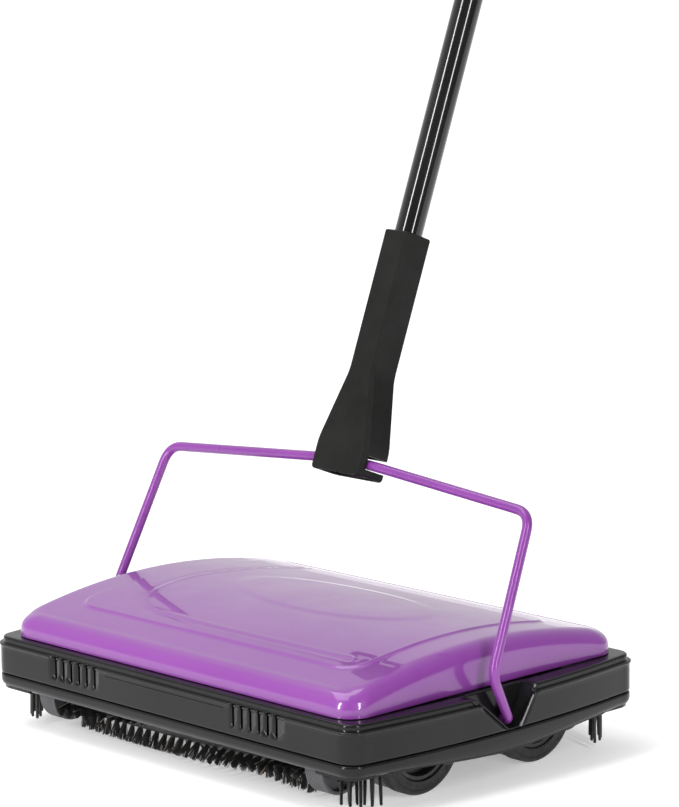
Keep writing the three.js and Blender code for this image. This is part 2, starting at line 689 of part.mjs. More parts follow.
// ---- dust pans ---------------------------------------------------------------------------
// Front pan, hinged on the rod across the middle. The rear pan is the same, turned half round,
// so their knuckles alternate along the rod.
const PAN_HALF_W = BIN_HALF_W - 0.6;
const PAN_END = BIN_HALF_D - 1.6; // where the floor turns up into the lip
const PAN_START = KNUCKLE_R + 0.5; // its edge beside the other pan's knuckles
function frontPan() {
  const floorShape = [
    [-PAN_START, PAN_Z],
    [-PAN_END + 0.1, PAN_Z],
    [-PAN_END - 0.8, PAN_Z + 3],
    [-PAN_END - 1, PAN_WALL_TOP],
    [-PAN_END + 0.2, PAN_WALL_TOP],
    [-PAN_END + 0.4, PAN_Z + 3],
    [-PAN_END + 1, PAN_Z + PAN_T],
    [-PAN_START, PAN_Z + PAN_T],
  ];
  const wallShape = [
    [-PAN_START - 0.3, PAN_Z + 0.5],
    [-PAN_END + 0.2, PAN_Z + 0.5],
    [-PAN_END - 0.3, PAN_WALL_TOP - 0.4],
    [-12, PAN_WALL_TOP - 0.4],
    [-PAN_START - 0.3, PAN_Z + 3],
  ];
  const list = [
    prismX(floorShape, -PAN_HALF_W, PAN_HALF_W),
    prismX(wallShape, -PAN_HALF_W, -PAN_HALF_W + PAN_T),
    prismX(wallShape, PAN_HALF_W - PAN_T, PAN_HALF_W),
  ];
  const step = (2 * PAN_HALF_W) / KNUCKLES;
  for (let i = 0; i < KNUCKLES; i += 2) {
    const x0 = -PAN_HALF_W + i * step + 0.4;
    const x1 = x0 + step - 0.8;
    list.push(barX(KNUCKLE_R, x0, x1, 0, HINGE_Z, 12));
    // foot that joins the knuckle to the floor
    list.push(box(x0, x1, -PAN_START - 1.4, 0.9 - KNUCKLE_R, PAN_Z + 0.3, HINGE_Z + 1.2));
  }
  return union(list).subtract(barX(HINGE_D / 2 + GAP, -BIN_HALF_W, BIN_HALF_W, 0, HINGE_Z, 10));
}
const pan = frontPan();
const hingeRod = barX(HINGE_D / 2, -BIN_HALF_W - 1.9, BIN_HALF_W + 1.9, 0, HINGE_Z, 12);
parts.push(piece("dust_pan_front", pan, SATIN));
parts.push(piece("dust_pan_rear", mirrorX(mirrorY(pan)), SATIN));
parts.push(piece("pan_hinge_rod", hingeRod, STEEL));

// ---- fixing screws --------------------------------------------------------------------
const screw = turned(
  [
    [0, 0],
    [3.1, 0],
    [3.1, 1.6],
    [1.5, 2.4],
    [1.5, SCREW_L - 1.2],
    [0.4, SCREW_L],
    [0, SCREW_L],
  ],
  10,
).subtract(union([box(-1.9, 1.9, -0.4, 0.4, -1, 0.9), box(-0.4, 0.4, -1.9, 1.9, -1, 0.9)]));
for (const [side, sx] of SIDES) {
  for (const [end, sy] of ENDS) {
    const at = [sx * SCREW_X, sy * SCREW_Y, Z_TRAY + 0.6];
    parts.push(piece(`tray_screw_${end}_${side}`, screw.translate(at), STEEL));
  }
}

// ---- bail -----------------------------------------------------------------------------
// Wire path: pivot end, up the dog-legged side, over the bent cross bar and down again.
const bailLean = Math.atan2(BAIL_TOP[0] - KNEE[0], BAIL_TOP[1] - KNEE[1]);
const apex = new THREE.Vector3(
  0,
  BAIL_TOP[0] + BAIL_RISE * Math.sin(bailLean),
  BAIL_TOP[1] + BAIL_RISE * Math.cos(bailLean),
);
const corners = [
  [new THREE.Vector3(PIVOT_END_X, ...PIVOT), 0],
  [new THREE.Vector3(PIVOT_X, ...PIVOT), 4.2],
  [new THREE.Vector3(KNEE_X, ...KNEE), 7],
  [new THREE.Vector3(BAIL_TOP_X, ...BAIL_TOP), 10],
  [apex, 12],
  [new THREE.Vector3(-BAIL_TOP_X, ...BAIL_TOP), 10],
  [new THREE.Vector3(-KNEE_X, ...KNEE), 7],
  [new THREE.Vector3(-PIVOT_X, ...PIVOT), 4.2],
  [new THREE.Vector3(-PIVOT_END_X, ...PIVOT), 0],
];
// Path through given points, sampled only at those points.
class WirePath extends THREE.Curve {
  constructor(points) {
    super();
    this.points = points;
  }
  getPoint(t) {
    const k = t * (this.points.length - 1);
    const i = Math.min(Math.floor(k + 1e-9), this.points.length - 2);
    return this.points[i].clone().lerp(this.points[i + 1], k - i);
  }
  getPointAt(u) {
    return this.getPoint(u);
  }
  getTangentAt(u) {
    const n = this.points.length - 1;
    const i = Math.round(u * n);
    const ahead = this.points[Math.min(i + 1, n)].clone().sub(this.points[Math.min(i, n - 1)]);
    const back = this.points[Math.max(i, 1)].clone().sub(this.points[Math.max(i - 1, 0)]);
    return ahead.normalize().add(back.normalize()).normalize();
  }
}
const wirePoints = [corners[0][0].clone()];
for (let i = 1; i < corners.length - 1; i++) {
  const [p, setback] = corners[i];
  const a = p.clone().add(corners[i - 1][0].clone().sub(p).setLength(setback));
  const b = p.clone().add(corners[i + 1][0].clone().sub(p).setLength(setback));
  const bend = new THREE.QuadraticBezierCurve3(a, p, b);
  for (let k = 0; k <= BEND_STEPS; k++) wirePoints.push(bend.getPoint(k / BEND_STEPS));
}
wirePoints.push(corners[corners.length - 1][0].clone());
const wireSection = new THREE.Shape().absarc(0, 0, WIRE_D / 2, 0, 2 * Math.PI);
const bail = solid(
  new THREE.ExtrudeGeometry(wireSection, {
    curveSegments: 5,
    steps: wirePoints.length - 1,
    bevelEnabled: false,
    extrudePath: new WirePath(wirePoints),
  }),
);
parts.push(piece("bail", bail, PAINT));

// Bushes that hold the wire's ends behind the recess walls.
const BUSH_X1 = V_BACK_X - PLATE - GAP;
const bush = barX(5.2, BUSH_X1 - 7, BUSH_X1, ...PIVOT, 14)
  .add(barX(4.2, BUSH_X1 - 9.5, BUSH_X1 - 6.9, ...PIVOT, 14))
  .subtract(barX(WIRE_D / 2 + GAP, BUSH_X1 - 12, BUSH_X1 + 1, ...PIVOT, 14));
parts.push(piece("bail_bush_right", bush, GREY));
parts.push(piece("bail_bush_left", mirrorX(bush), GREY));

// ---- handle ---------------------------------------------------------------------------
// Pieces are made along +Z about the axis, then leaned back and moved to the axis point.
const leanBack = (body) => body.rotate([-LEAN, 0, 0]).translate([0, AXIS_Y, AXIS_Z]);

// Socket, seen from the front, as (half width, height) from the top down.
const socketSide = [
  [SOCKET_NECK_HALF - 1, SOCKET_TOP],
  [SOCKET_NECK_HALF, SOCKET_TOP - 1],
  [SOCKET_NECK_HALF, SOCKET_NECK],
  [SOCKET_NECK_HALF + 1.8, SOCKET_NECK - 9],
  [SOCKET_FOOT_HALF - 4, SOCKET_NECK - 24],
  [SOCKET_FOOT_HALF - 1, SOCKET_FLARE + 3],
  [SOCKET_FOOT_HALF, SOCKET_FLARE - 3],
  [SOCKET_FOOT_HALF, SOCKET_END + 2.4],
  [SOCKET_FOOT_HALF - 2, SOCKET_END],
];
const footSide = [
  [SOCKET_NECK_HALF - SOCKET_WALL, SOCKET_NECK - 4],
  [SOCKET_FOOT_HALF - 4 - SOCKET_WALL, SOCKET_NECK - 24],
  [SOCKET_FOOT_HALF - SOCKET_WALL, SOCKET_FLARE - 3],
  [SOCKET_FOOT_HALF - SOCKET_WALL, SOCKET_END - 5],
];
// Prism across the handle of a shape given by its right side, `half` thick each way.
function frontPrism(rightSide, half, chamfer) {
  const leftSide = rightSide.map(([x, h]) => [-x, h]).reverse();
  const points = [...rightSide, ...leftSide].map(([x, h]) => new THREE.Vector2(x, h));
  const g = new THREE.ExtrudeGeometry(new THREE.Shape(points), {
    depth: 2 * (half - chamfer),
    bevelEnabled: chamfer > 0,
    bevelSize: chamfer,
    bevelOffset: -chamfer,
    bevelThickness: chamfer,
    bevelSegments: 2,
  });
  return solid(g.translate(0, 0, chamfer - half).rotateX(Math.PI / 2));
}
// The cross bar's middle, in the handle's own frame.
const leanRad = THREE.MathUtils.degToRad(LEAN);
const fromAxis = [apex.y - AXIS_Y, apex.z - AXIS_Z];
const barBack = fromAxis[0] * Math.cos(leanRad) - fromAxis[1] * Math.sin(leanRad);
const barUp = fromAxis[0] * Math.sin(leanRad) + fromAxis[1] * Math.cos(leanRad) - 0.8;
const slotHalf = WIRE_D / 2 + 1.1;
const tubeBore = barZ(TUBE_D / 2 + GAP, 0, 0, TUBE_START - GAP, SOCKET_TOP + 2, 24);
const hollowFoot = frontPrism(footSide, SOCKET_HALF - SOCKET_WALL, 0);
// Ribs inside the foot that bear on the bar from above.
const cradle = box(
  8,
  SOCKET_FOOT_HALF - 1,
  1.2 - SOCKET_HALF,
  SOCKET_HALF - 1.2,
  barUp + slotHalf - 0.2,
  barUp + slotHalf + 2.8,
);
const PAST = SOCKET_FOOT_HALF + 4; // past the foot's sides
const barSlot = union([
  barX(slotHalf, -PAST, PAST, barBack, barUp, 16),
  box(-PAST, PAST, barBack, SOCKET_HALF + 4, barUp - slotHalf, barUp + slotHalf),
]);
const socket = frontPrism(socketSide, SOCKET_HALF, SOCKET_CHAMFER)
  .subtract(hollowFoot)
  .add(bothSides(cradle))
  .subtract(union([tubeBore, barSlot]));
parts.push(piece("handle_socket", leanBack(socket), SATIN));

// Tube section: open tube, with a necked upper end where another section screws on.
function tubeSection(from, necked) {
  const profile = (half, over) => {
    const end = from + TUBE_L;
    const neck = half - (TUBE_D - NECK_D) / 2;
    const straight = [
      [0, from - over],
      [half, from - over],
    ];
    if (!necked) return [...straight, [half, end + over], [0, end + over]];
    const top = end + NECK_L - 0.2 + over;
    return [...straight, [half, end - 0.5 * over], [neck, end + TAPER_L - 0.5 * over], [neck, top], [0, top]];
  };
  return turned(profile(TUBE_D / 2, 0), 20).subtract(turned(profile(TUBE_D / 2 - TUBE_T, 1), 20));
}
// Screw end: plug held in the neck, collar and ribbed thread.
function screwEnd(neckTop) {
  const plug = NECK_D / 2 - TUBE_T - GAP;
  const collar = THREAD_D / 2 + 0.4;
  const crest = THREAD_D / 2;
  const root = THREAD_D / 2 - 0.9;
  const threadFrom = neckTop + COLLAR_L;
  const threadPitch = THREAD_L / THREAD_TURNS;
  const profile = [
    [0, neckTop - NECK_L + 3],
    [plug, neckTop - NECK_L + 3],
    [plug, neckTop + GAP],
    [collar, neckTop + GAP],
    [collar, threadFrom],
  ];
  for (let i = 0; i < THREAD_TURNS; i++) {
    const z = threadFrom + threadPitch * i;
    profile.push([root, z + 0.35]);
    profile.push([crest, z + 0.45 * threadPitch]);
    profile.push([crest, z + 0.65 * threadPitch]);
  }
  profile.push([root, threadFrom + THREAD_L]);
  profile.push([root - 0.6, threadFrom + THREAD_L + 0.6]);
  profile.push([0, threadFrom + THREAD_L + 0.6]);
  return turned(profile, 12);
}
// Nut insert in the lower end of the next section.
function nutInsert(from) {
  const z0 = from + COLLAR_L + 0.2;
  const z1 = z0 + THREAD_L + 4;
  return barZ(TUBE_D / 2 - TUBE_T - GAP, 0, 0, z0, z1, 18).subtract(
    barZ(THREAD_D / 2 + GAP, 0, 0, z0 - 1, z1 - 1.8, 18),
  );
}
const sectionPitch = TUBE_L + NECK_L + GAP;
const SECTIONS = ["lower", "middle", "upper"];
SECTIONS.forEach((name, i) => {
  const from = TUBE_START + i * sectionPitch;
  const necked = i < SECTIONS.length - 1;
  parts.push(piece(`tube_${name}`, leanBack(tubeSection(from, necked)), LACQUER));
  if (necked) {
    const end = screwEnd(from + TUBE_L + NECK_L);
    parts.push(piece(`screw_end_${name}`, leanBack(end), SATIN));
  }
  if (i > 0) parts.push(piece(`nut_insert_${name}`, leanBack(nutInsert(from)), SATIN));
});

// Grip: ribbed sleeve over the upper tube, closed by a hang cap.
const tubeTop = TUBE_START + (SECTIONS.length - 1) * sectionPitch + TUBE_L;
const gripR = GRIP_D / 2;
const gripFrom = tubeTop - GRIP_L;
const gripProfile = [
  [0, gripFrom],
  [TUBE_D / 2 + 1.2, gripFrom],
  [gripR - 0.6, gripFrom + 3],
];
for (let i = 0; i < GRIP_RIBS; i++) {
  const z = gripFrom + 14 + (i * (GRIP_L - 18)) / GRIP_RIBS;
  const swell = 0.9 * Math.sin((Math.PI * (i + 0.5)) / GRIP_RIBS);
  gripProfile.push([gripR - 1 + swell, z]);
  gripProfile.push([gripR - 0.4 + swell, z + 6]);
}
gripProfile.push([gripR - 0.6, tubeTop - 1], [gripR - 1.2, tubeTop], [0, tubeTop]);
const grip = turned(gripProfile, 18).subtract(
  barZ(TUBE_D / 2 + GAP, 0, 0, gripFrom - 1, tubeTop + 1, 18),
);
parts.push(piece("grip", leanBack(grip), FOAM));
// Hang cap: plug in the tube, shoulder, and an eye.
const capPlugR = TUBE_D / 2 - TUBE_T - GAP;
const capPlug = turned(
  [
    [0, tubeTop - 14],
    [capPlugR - 0.5, tubeTop - 14],
    [capPlugR, tubeTop - 12],
    [capPlugR, tubeTop + GAP],
    [gripR - 0.8, tubeTop + GAP],
    [gripR - 0.4, tubeTop + 1.6],
    [gripR - 1.6, tubeTop + 5.4],
    [gripR - 5, tubeTop + 8],
    [0, tubeTop + 8],
  ],
  16,
);
const eye = solid(new THREE.TorusGeometry(EYE_R, EYE_D / 2, 8, 16).rotateX(Math.PI / 2));
const cap = capPlug.add(eye.translate([0, 0, tubeTop + EYE_R + 6]));
parts.push(piece("hang_cap", leanBack(cap), SATIN));

// ---- assembly, centred over its footprint --------------------------------------------
const assembly = new THREE.Group();
assembly.add(...parts);
const extent = new THREE.Box3().setFromObject(assembly);
assembly.position.set(
  -(extent.min.x + extent.max.x) / 2,
  -(extent.min.y + extent.max.y) / 2,
  -extent.min.z,
);
const root = new THREE.Group();
root.name = "carpet_sweeper";
root.add(assembly);
export default root;
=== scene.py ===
"""Looks of a push carpet sweeper: painted cover, black head, brush rolls, wheels, bail and handle."""

import logging
import math
from dataclasses import dataclass, field
from enum import Enum

import bmesh
import bpy
import numpy as np
from mathutils import Matrix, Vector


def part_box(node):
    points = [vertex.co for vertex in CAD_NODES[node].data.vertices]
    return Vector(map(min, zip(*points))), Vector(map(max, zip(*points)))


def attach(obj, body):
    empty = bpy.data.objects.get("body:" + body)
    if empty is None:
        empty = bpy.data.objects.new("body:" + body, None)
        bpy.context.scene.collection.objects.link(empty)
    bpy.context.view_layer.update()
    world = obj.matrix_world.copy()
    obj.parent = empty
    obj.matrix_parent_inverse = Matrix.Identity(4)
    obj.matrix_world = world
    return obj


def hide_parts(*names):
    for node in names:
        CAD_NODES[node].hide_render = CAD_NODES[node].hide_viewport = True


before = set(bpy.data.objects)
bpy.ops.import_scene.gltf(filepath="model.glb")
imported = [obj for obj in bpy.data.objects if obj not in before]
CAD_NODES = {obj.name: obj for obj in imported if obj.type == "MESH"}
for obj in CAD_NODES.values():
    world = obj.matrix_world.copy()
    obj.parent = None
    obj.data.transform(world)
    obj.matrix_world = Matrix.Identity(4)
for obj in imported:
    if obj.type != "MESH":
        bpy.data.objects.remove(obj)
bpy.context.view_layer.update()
LOG = logging.getLogger("carpet_sweeper")
MM = 0.001
MERGE = 1e-6

HOUSING_LOW, HOUSING_HIGH = (np.array(c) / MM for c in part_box("upper_housing"))
HEAD_Y = (HOUSING_LOW[1] + HOUSING_HIGH[1]) / 2
RIM_FLARE = 0.7
HEAD_HALF_D = (HOUSING_HIGH[1] - HOUSING_LOW[1]) / 2 - RIM_FLARE
Z_RING = HOUSING_HIGH[2]
GAP = 0.3
Z_SEAM = HOUSING_LOW[2] - GAP
Z_RECESS = Z_SEAM + 0.6
PIVOT_Y, PIVOT_Z = 3.2, 32.6


class Side(Enum):
    """Left or right half of the head, as the sign of X."""

    LEFT = -1
    RIGHT = 1


class End(Enum):
    """Front or rear half of the head, as the sign of Y."""

    FRONT = -1
    REAR = 1


def corner_tag(end: End, side: Side) -> str:
    """Name of one corner of the head, such as front_left."""
    return f"{end.name.lower()}_{side.name.lower()}"


# ---- surfaces -------------------------------------------------------------------------


@dataclass
class Surface:
    """Points in millimetres, head-centred, and the faces that join them."""

    points: np.ndarray
    faces: list = field(default_factory=list)

    def joined(self, other: "Surface") -> "Surface":
        """Both surfaces as one, the other's face numbers moved up.

        Args:
            other: the surface to add.

        Returns:
            A new surface.
        """
        start = len(self.points)
        moved = [tuple(int(i) + start for i in face) for face in other.faces]
        return Surface(np.vstack([self.points, other.points]), list(self.faces) + moved)

    def moved(self, x: float = 0.0, y: float = 0.0, z: float = 0.0) -> "Surface":
        """The surface shifted by (x, y, z)."""
        return Surface(self.points + np.array([x, y, z]), self.faces)

    def mirrored(self) -> "Surface":
        """The surface reflected in X = 0, its faces turned back to point outwards."""
        flipped = [tuple(reversed(face)) for face in self.faces]
        return Surface(self.points * np.array([-1.0, 1.0, 1.0]), flipped)


def grid_faces(rows: int, cols: int, wrap: bool, keep: np.ndarray | None = None) -> list:
    """Quads of a rows by cols grid: face (r, c) joins points (r, c), (r, c+1), (r+1, c+1), (r+1, c).

    Args:
        rows: number of point rows.
        cols: number of point columns.
        wrap: whether the last column joins the first.
        keep: optional truth per quad, rows - 1 by the number of quad columns.

    Returns:
        A list of four-number tuples.
    """
    width = cols if wrap else cols - 1
    r, c = np.meshgrid(np.arange(rows - 1), np.arange(width), indexing="ij")
    after = (c + 1) % cols
    quads = np.stack([r * cols + c, r * cols + after, (r + 1) * cols + after, (r + 1) * cols + c], -1)
    quads = quads.reshape(-1, 4) if keep is None else quads[keep]
    return [tuple(q) for q in quads.tolist()]


def lathe(profile: np.ndarray, sides: int) -> Surface:
    """Turns a (radius, height) profile about +Z: point (i, k) is (r_i cos a_k, r_i sin a_k, z_i).

    Args:
        profile: rows of radius and height; the surface points outwards when heights rise outside.
        sides: number of steps round the axis.

    Returns:
        The turned surface. Ends on the axis are closed by merging.
    """
    angle = np.linspace(0, 2 * np.pi, sides, endpoint=False)
    r, z = profile[:, 0:1], profile[:, 1:2]
    points = np.stack([r * np.cos(angle), r * np.sin(angle), z + 0 * angle], -1)
    return Surface(points.reshape(-1, 3), grid_faces(len(profile), sides, True))


def rounded_profile(corners: list, radius: float, steps: int = 4) -> np.ndarray:
    """Profile with each inner corner replaced by a quadratic curve set back by up to radius.

    Args:
        corners: (radius, height) pairs.
        radius: set-back along both legs.
        steps: points per corner, less one.

    Returns:
        The finer profile, rows of radius and height.
    """
    p = np.array(corners, float)
    before, here, after = p[:-2], p[1:-1], p[2:]
    back, ahead = before - here, after - here
    length_b = np.linalg.norm(back, axis=1, keepdims=True)
    length_a = np.linalg.norm(ahead, axis=1, keepdims=True)
    set_back = np.minimum(radius, 0.45 * np.minimum(length_a, length_b))
    start, stop = here + back / length_b * set_back, here + ahead / length_a * set_back
    t = np.linspace(0, 1, steps + 1)[None, :, None]
    curve = (1 - t) ** 2 * start[:, None] + 2 * t * (1 - t) * here[:, None] + t**2 * stop[:, None]
    return np.vstack([p[:1], curve.reshape(-1, 2), p[-1:]])


def sweep(path: np.ndarray, radius: float, sides: int, reference: np.ndarray) -> Surface:
    """Round bar along a path: each ring is path + radius (cos a n1 + sin a n2), square to the tangent.

    n1 is the tangent crossed with one fixed reference direction, and n2 the tangent crossed with n1.

    Args:
        path: rows of points.
        radius: bar radius.
        sides: points in each ring.
        reference: a direction that no tangent is parallel to.

    Returns:
        The closed bar, flat at both ends.
    """
    tangent = np.gradient(path, axis=0)
    tangent /= np.linalg.norm(tangent, axis=1, keepdims=True)
    first = np.cross(tangent, reference)
    first /= np.linalg.norm(first, axis=1, keepdims=True)
    second = np.cross(tangent, first)
    angle = np.linspace(0, 2 * np.pi, sides, endpoint=False)
    ring = np.cos(angle)[None, :, None] * first[:, None] + np.sin(angle)[None, :, None] * second[:, None]
    points = (path[:, None] + radius * ring).reshape(-1, 3)
    faces = grid_faces(len(path), sides, True)
    last = (len(path) - 1) * sides
    faces += [tuple(reversed(range(sides))), tuple(range(last, last + sides))]
    return Surface(points, faces)


def block(low: tuple, high: tuple) -> Surface:
    """Plain block between two corners, as six outward quads.

    Args:
        low: smallest x, y and z.
        high: largest x, y and z.

    Returns:
        The closed block.
    """
    x, y, z = (np.array([low[k], high[k]]) for k in range(3))
    corner = np.stack(np.meshgrid(x, y, z, indexing="ij"), -1).reshape(-1, 3)
    faces = [(0, 1, 3, 2), (4, 6, 7, 5), (0, 4, 5, 1), (2, 3, 7, 6), (0, 2, 6, 4), (1, 5, 7, 3)]
    return Surface(corner, faces)


def lay_x(surface: Surface) -> Surface:
    """Turns a surface made about +Z so that its axis runs along +X: (x, y, z) goes to (z, x, y)."""
    return Surface(surface.points[:, [2, 0, 1]], surface.faces)


def cad_surface(node: str) -> Surface:
    """A CAD node's triangles as a surface, with its points merged by rounding.

    Args:
        node: the node's name.

    Returns:
        Its surface in head-centred millimetres, without the triangles that collapsed.
    """
    mesh = CAD_NODES[node].data
    co = np.zeros(len(mesh.vertices) * 3)
    mesh.vertices.foreach_get("co", co)
    points = co.reshape(-1, 3) / MM - np.array([0, HEAD_Y, 0])
    corners = np.zeros(len(mesh.loops), int)
    mesh.loops.foreach_get("vertex_index", corners)
    unique, index = np.unique(np.round(points, 3), axis=0, return_inverse=True)
    triangles = index.reshape(-1)[corners].reshape(-1, 3)
    sound = (triangles[:, 0] != triangles[:, 1]) & (triangles[:, 1] != triangles[:, 2])
    sound &= triangles[:, 0] != triangles[:, 2]
    return Surface(unique, [tuple(t) for t in triangles[sound].tolist()])


def make_piece(
    name: str,
    surface: Surface,
    body: str,
    material: bpy.types.Material,
    replaces: tuple = (),
    crease: float = 35.0,
    merge: bool = True,
) -> bpy.types.Object:
    """Puts a surface into the scene as a piece of the object.

    Args:
        name: the piece's name.
        surface: head-centred millimetres.
        body: CAD body that it moves with.
        material: its finish.
        replaces: CAD nodes that it stands for.
        crease: edges sharper than this many degrees stay sharp in shading.
        merge: whether coincident points are merged.

    Returns:
        The new object, at the origin.
    """
    mesh = bpy.data.meshes.new(name)
    points = (surface.points + np.array([0, HEAD_Y, 0])) * MM
    mesh.from_pydata(points.tolist(), [], surface.faces)
    obj = bpy.data.objects.new(name, mesh)
    bpy.context.scene.collection.objects.link(obj)
    if merge:
        weld(mesh)
    mesh.polygons.foreach_set("use_smooth", np.ones(len(mesh.polygons), bool))
    mesh.set_sharp_from_angle(angle=math.radians(crease))
    mesh.materials.append(material)
    mesh.update()
    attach(obj, body)
    if replaces:
        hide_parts(*replaces)
    LOG.info("piece %s: %d faces on %s", name, len(mesh.polygons), body)
    return obj


def weld(mesh: bpy.types.Mesh) -> None:
    """Merges points closer than a thousandth of a millimetre and drops what collapses.

    Args:
        mesh: the mesh to change.
    """
    bm = bmesh.new()
    bm.from_mesh(mesh)
    bmesh.ops.remove_doubles(bm, verts=bm.verts, dist=MERGE)
    bm.to_mesh(mesh)
    bm.free()


def thicken(obj: bpy.types.Object, wall: float) -> None:
    """Gives an outer surface a wall inwards.

    Args:
        obj: the piece.
        wall: thickness in millimetres.
    """
    modifier = obj.modifiers.new("wall", "SOLIDIFY")
    modifier.thickness = wall * MM
    modifier.offset = -1
    modifier.use_even_offset = True
    modifier.thickness_clamp = 0.6


def soften(obj: bpy.types.Object, width: float, angle: float = 30.0, segments: int = 2) -> None:
    """Rounds a piece's sharp edges.

    Args:
        obj: the piece.
        width: width of the rounding in millimetres.
        angle: edges sharper than this many degrees are rounded.
        segments: facets across the rounding.
    """
    modifier = obj.modifiers.new("edges", "BEVEL")
    modifier.width = width * MM
    modifier.segments = segments
    modifier.limit_method = "ANGLE"
    modifier.angle_limit = math.radians(angle)
    modifier.harden_normals = False


# ---- finishes -------------------------------------------------------------------------


@dataclass(frozen=True)
class Finish:
    """A material in numbers: two base colours, how smooth it is, its coat, grain and wear.

    Args:
        colour: main base colour.
        other: colour that patches drift towards.
        rough: lowest and highest roughness.
        metal: metallic share.
        coat: weight and roughness of the clear coat.
        patch: scale of the colour patches, per metre.
        grain: scale of the fine grain, per metre.
        bump: height of the grain, in millimetres.
        dust: share of pale dust lying on faces that look up.
        stretch: how the grain is stretched along X, Y and Z.
        shine: strength of the mirror-like reflection below the coat.
    """

    colour: tuple
    other: tuple
    rough: tuple
    metal: float = 0.0
    coat: tuple = (0.0, 0.05)
    patch: float = 14.0
    grain: float = 900.0
    bump: float = 0.02
    dust: float = 0.0
    stretch: tuple = (1.0, 1.0, 1.0)
    shine: float = 0.5


FINISHES = {
    "cover_paint": Finish(
        (0.255, 0.055, 0.335), (0.235, 0.047, 0.315), (0.30, 0.38), 0.0, (0.95, 0.03), 6.0, 2600.0, 0.003,
        0.0, (1.0, 1.0, 1.0), 0.3
    ),
    "bail_paint": Finish(
        (0.24, 0.048, 0.31), (0.21, 0.040, 0.28), (0.26, 0.34), 0.0, (0.6, 0.05), 20.0, 2200.0, 0.004,
        0.0, (1.0, 1.0, 1.0), 0.25
    ),
    "housing_plastic": Finish(
        (0.008, 0.008, 0.0085), (0.012, 0.012, 0.0125), (0.15, 0.23), 0.0, (0.16, 0.04), 18.0, 1500.0, 0.005,
        0.0, (1.0, 1.0, 1.0), 0.17
    ),
    "tray_plastic": Finish(
        (0.008, 0.008, 0.0085), (0.012, 0.012, 0.0125), (0.17, 0.27), 0.0, (0.12, 0.06), 18.0, 1400.0, 0.006,
        0.0, (1.0, 1.0, 1.0), 0.18
    ),
    "bristle": Finish(
        (0.012, 0.012, 0.013), (0.030, 0.028, 0.027), (0.38, 0.55), 0.0, (0.0, 0.1), 260.0, 3000.0, 0.01
    ),
    "bristle_pale": Finish(
        (0.62, 0.53, 0.36), (0.50, 0.42, 0.28), (0.4, 0.6), 0.0, (0.0, 0.1), 260.0, 3000.0, 0.01
    ),
    "tyre_rubber": Finish(
        (0.013, 0.013, 0.013), (0.026, 0.025, 0.024), (0.52, 0.78), 0.0, (0.0, 0.1), 40.0, 1600.0, 0.05, 0.10
    ),
    "hub_plastic": Finish(
        (0.015, 0.015, 0.016), (0.022, 0.022, 0.023), (0.38, 0.52), 0.0, (0.1, 0.2), 40.0, 1500.0, 0.015
    ),
    "pin_steel": Finish(
        (0.56, 0.57, 0.58), (0.46, 0.46, 0.47), (0.20, 0.38), 1.0, (0.0, 0.1), 60.0, 1400.0, 0.008,
        0.0, (0.06, 1.0, 1.0)
    ),
    "screw_steel": Finish(
        (0.50, 0.51, 0.53), (0.40, 0.40, 0.42), (0.24, 0.42), 1.0, (0.0, 0.1), 90.0, 1800.0, 0.008
    ),
    "drum_plastic": Finish(
        (0.085, 0.086, 0.092), (0.060, 0.060, 0.066), (0.36, 0.52), 0.0, (0.1, 0.2), 50.0, 1500.0, 0.02
    ),
    "core_plastic": Finish(
        (0.020, 0.020, 0.021), (0.030, 0.030, 0.031), (0.4, 0.6), 0.0, (0.0, 0.1), 50.0, 1500.0, 0.02
    ),
    "pan_plastic": Finish(
        (0.020, 0.020, 0.021), (0.030, 0.029, 0.028), (0.34, 0.5), 0.0, (0.1, 0.2), 22.0, 1300.0, 0.02, 0.05
    ),
    "bush_plastic": Finish(
        (0.10, 0.10, 0.11), (0.08, 0.08, 0.085), (0.36, 0.5), 0.0, (0.1, 0.2), 60.0, 1500.0, 0.015
    ),
    "socket_plastic": Finish(
        (0.008, 0.0077, 0.0072), (0.012, 0.0115, 0.011), (0.36, 0.52), 0.0, (0.0, 0.2), 30.0, 1700.0, 0.09,
        0.0, (1.0, 1.0, 1.0), 0.16
    ),
    "tube_lacquer": Finish(
        (0.006, 0.006, 0.0065), (0.009, 0.009, 0.0095), (0.14, 0.22), 0.0, (1.0, 0.035), 16.0, 1200.0, 0.006,
        0.0, (1.0, 1.0, 0.12), 0.15
    ),
    "joint_plastic": Finish(
        (0.016, 0.016, 0.017), (0.024, 0.024, 0.025), (0.36, 0.5), 0.0, (0.1, 0.2), 40.0, 1500.0, 0.02
    ),
    "grip_foam": Finish(
        (0.016, 0.016, 0.016), (0.026, 0.026, 0.026), (0.75, 0.92), 0.0, (0.0, 0.2), 60.0, 1900.0, 0.16, 0.05
    ),
}


DUST = (0.32, 0.30, 0.27, 1.0)


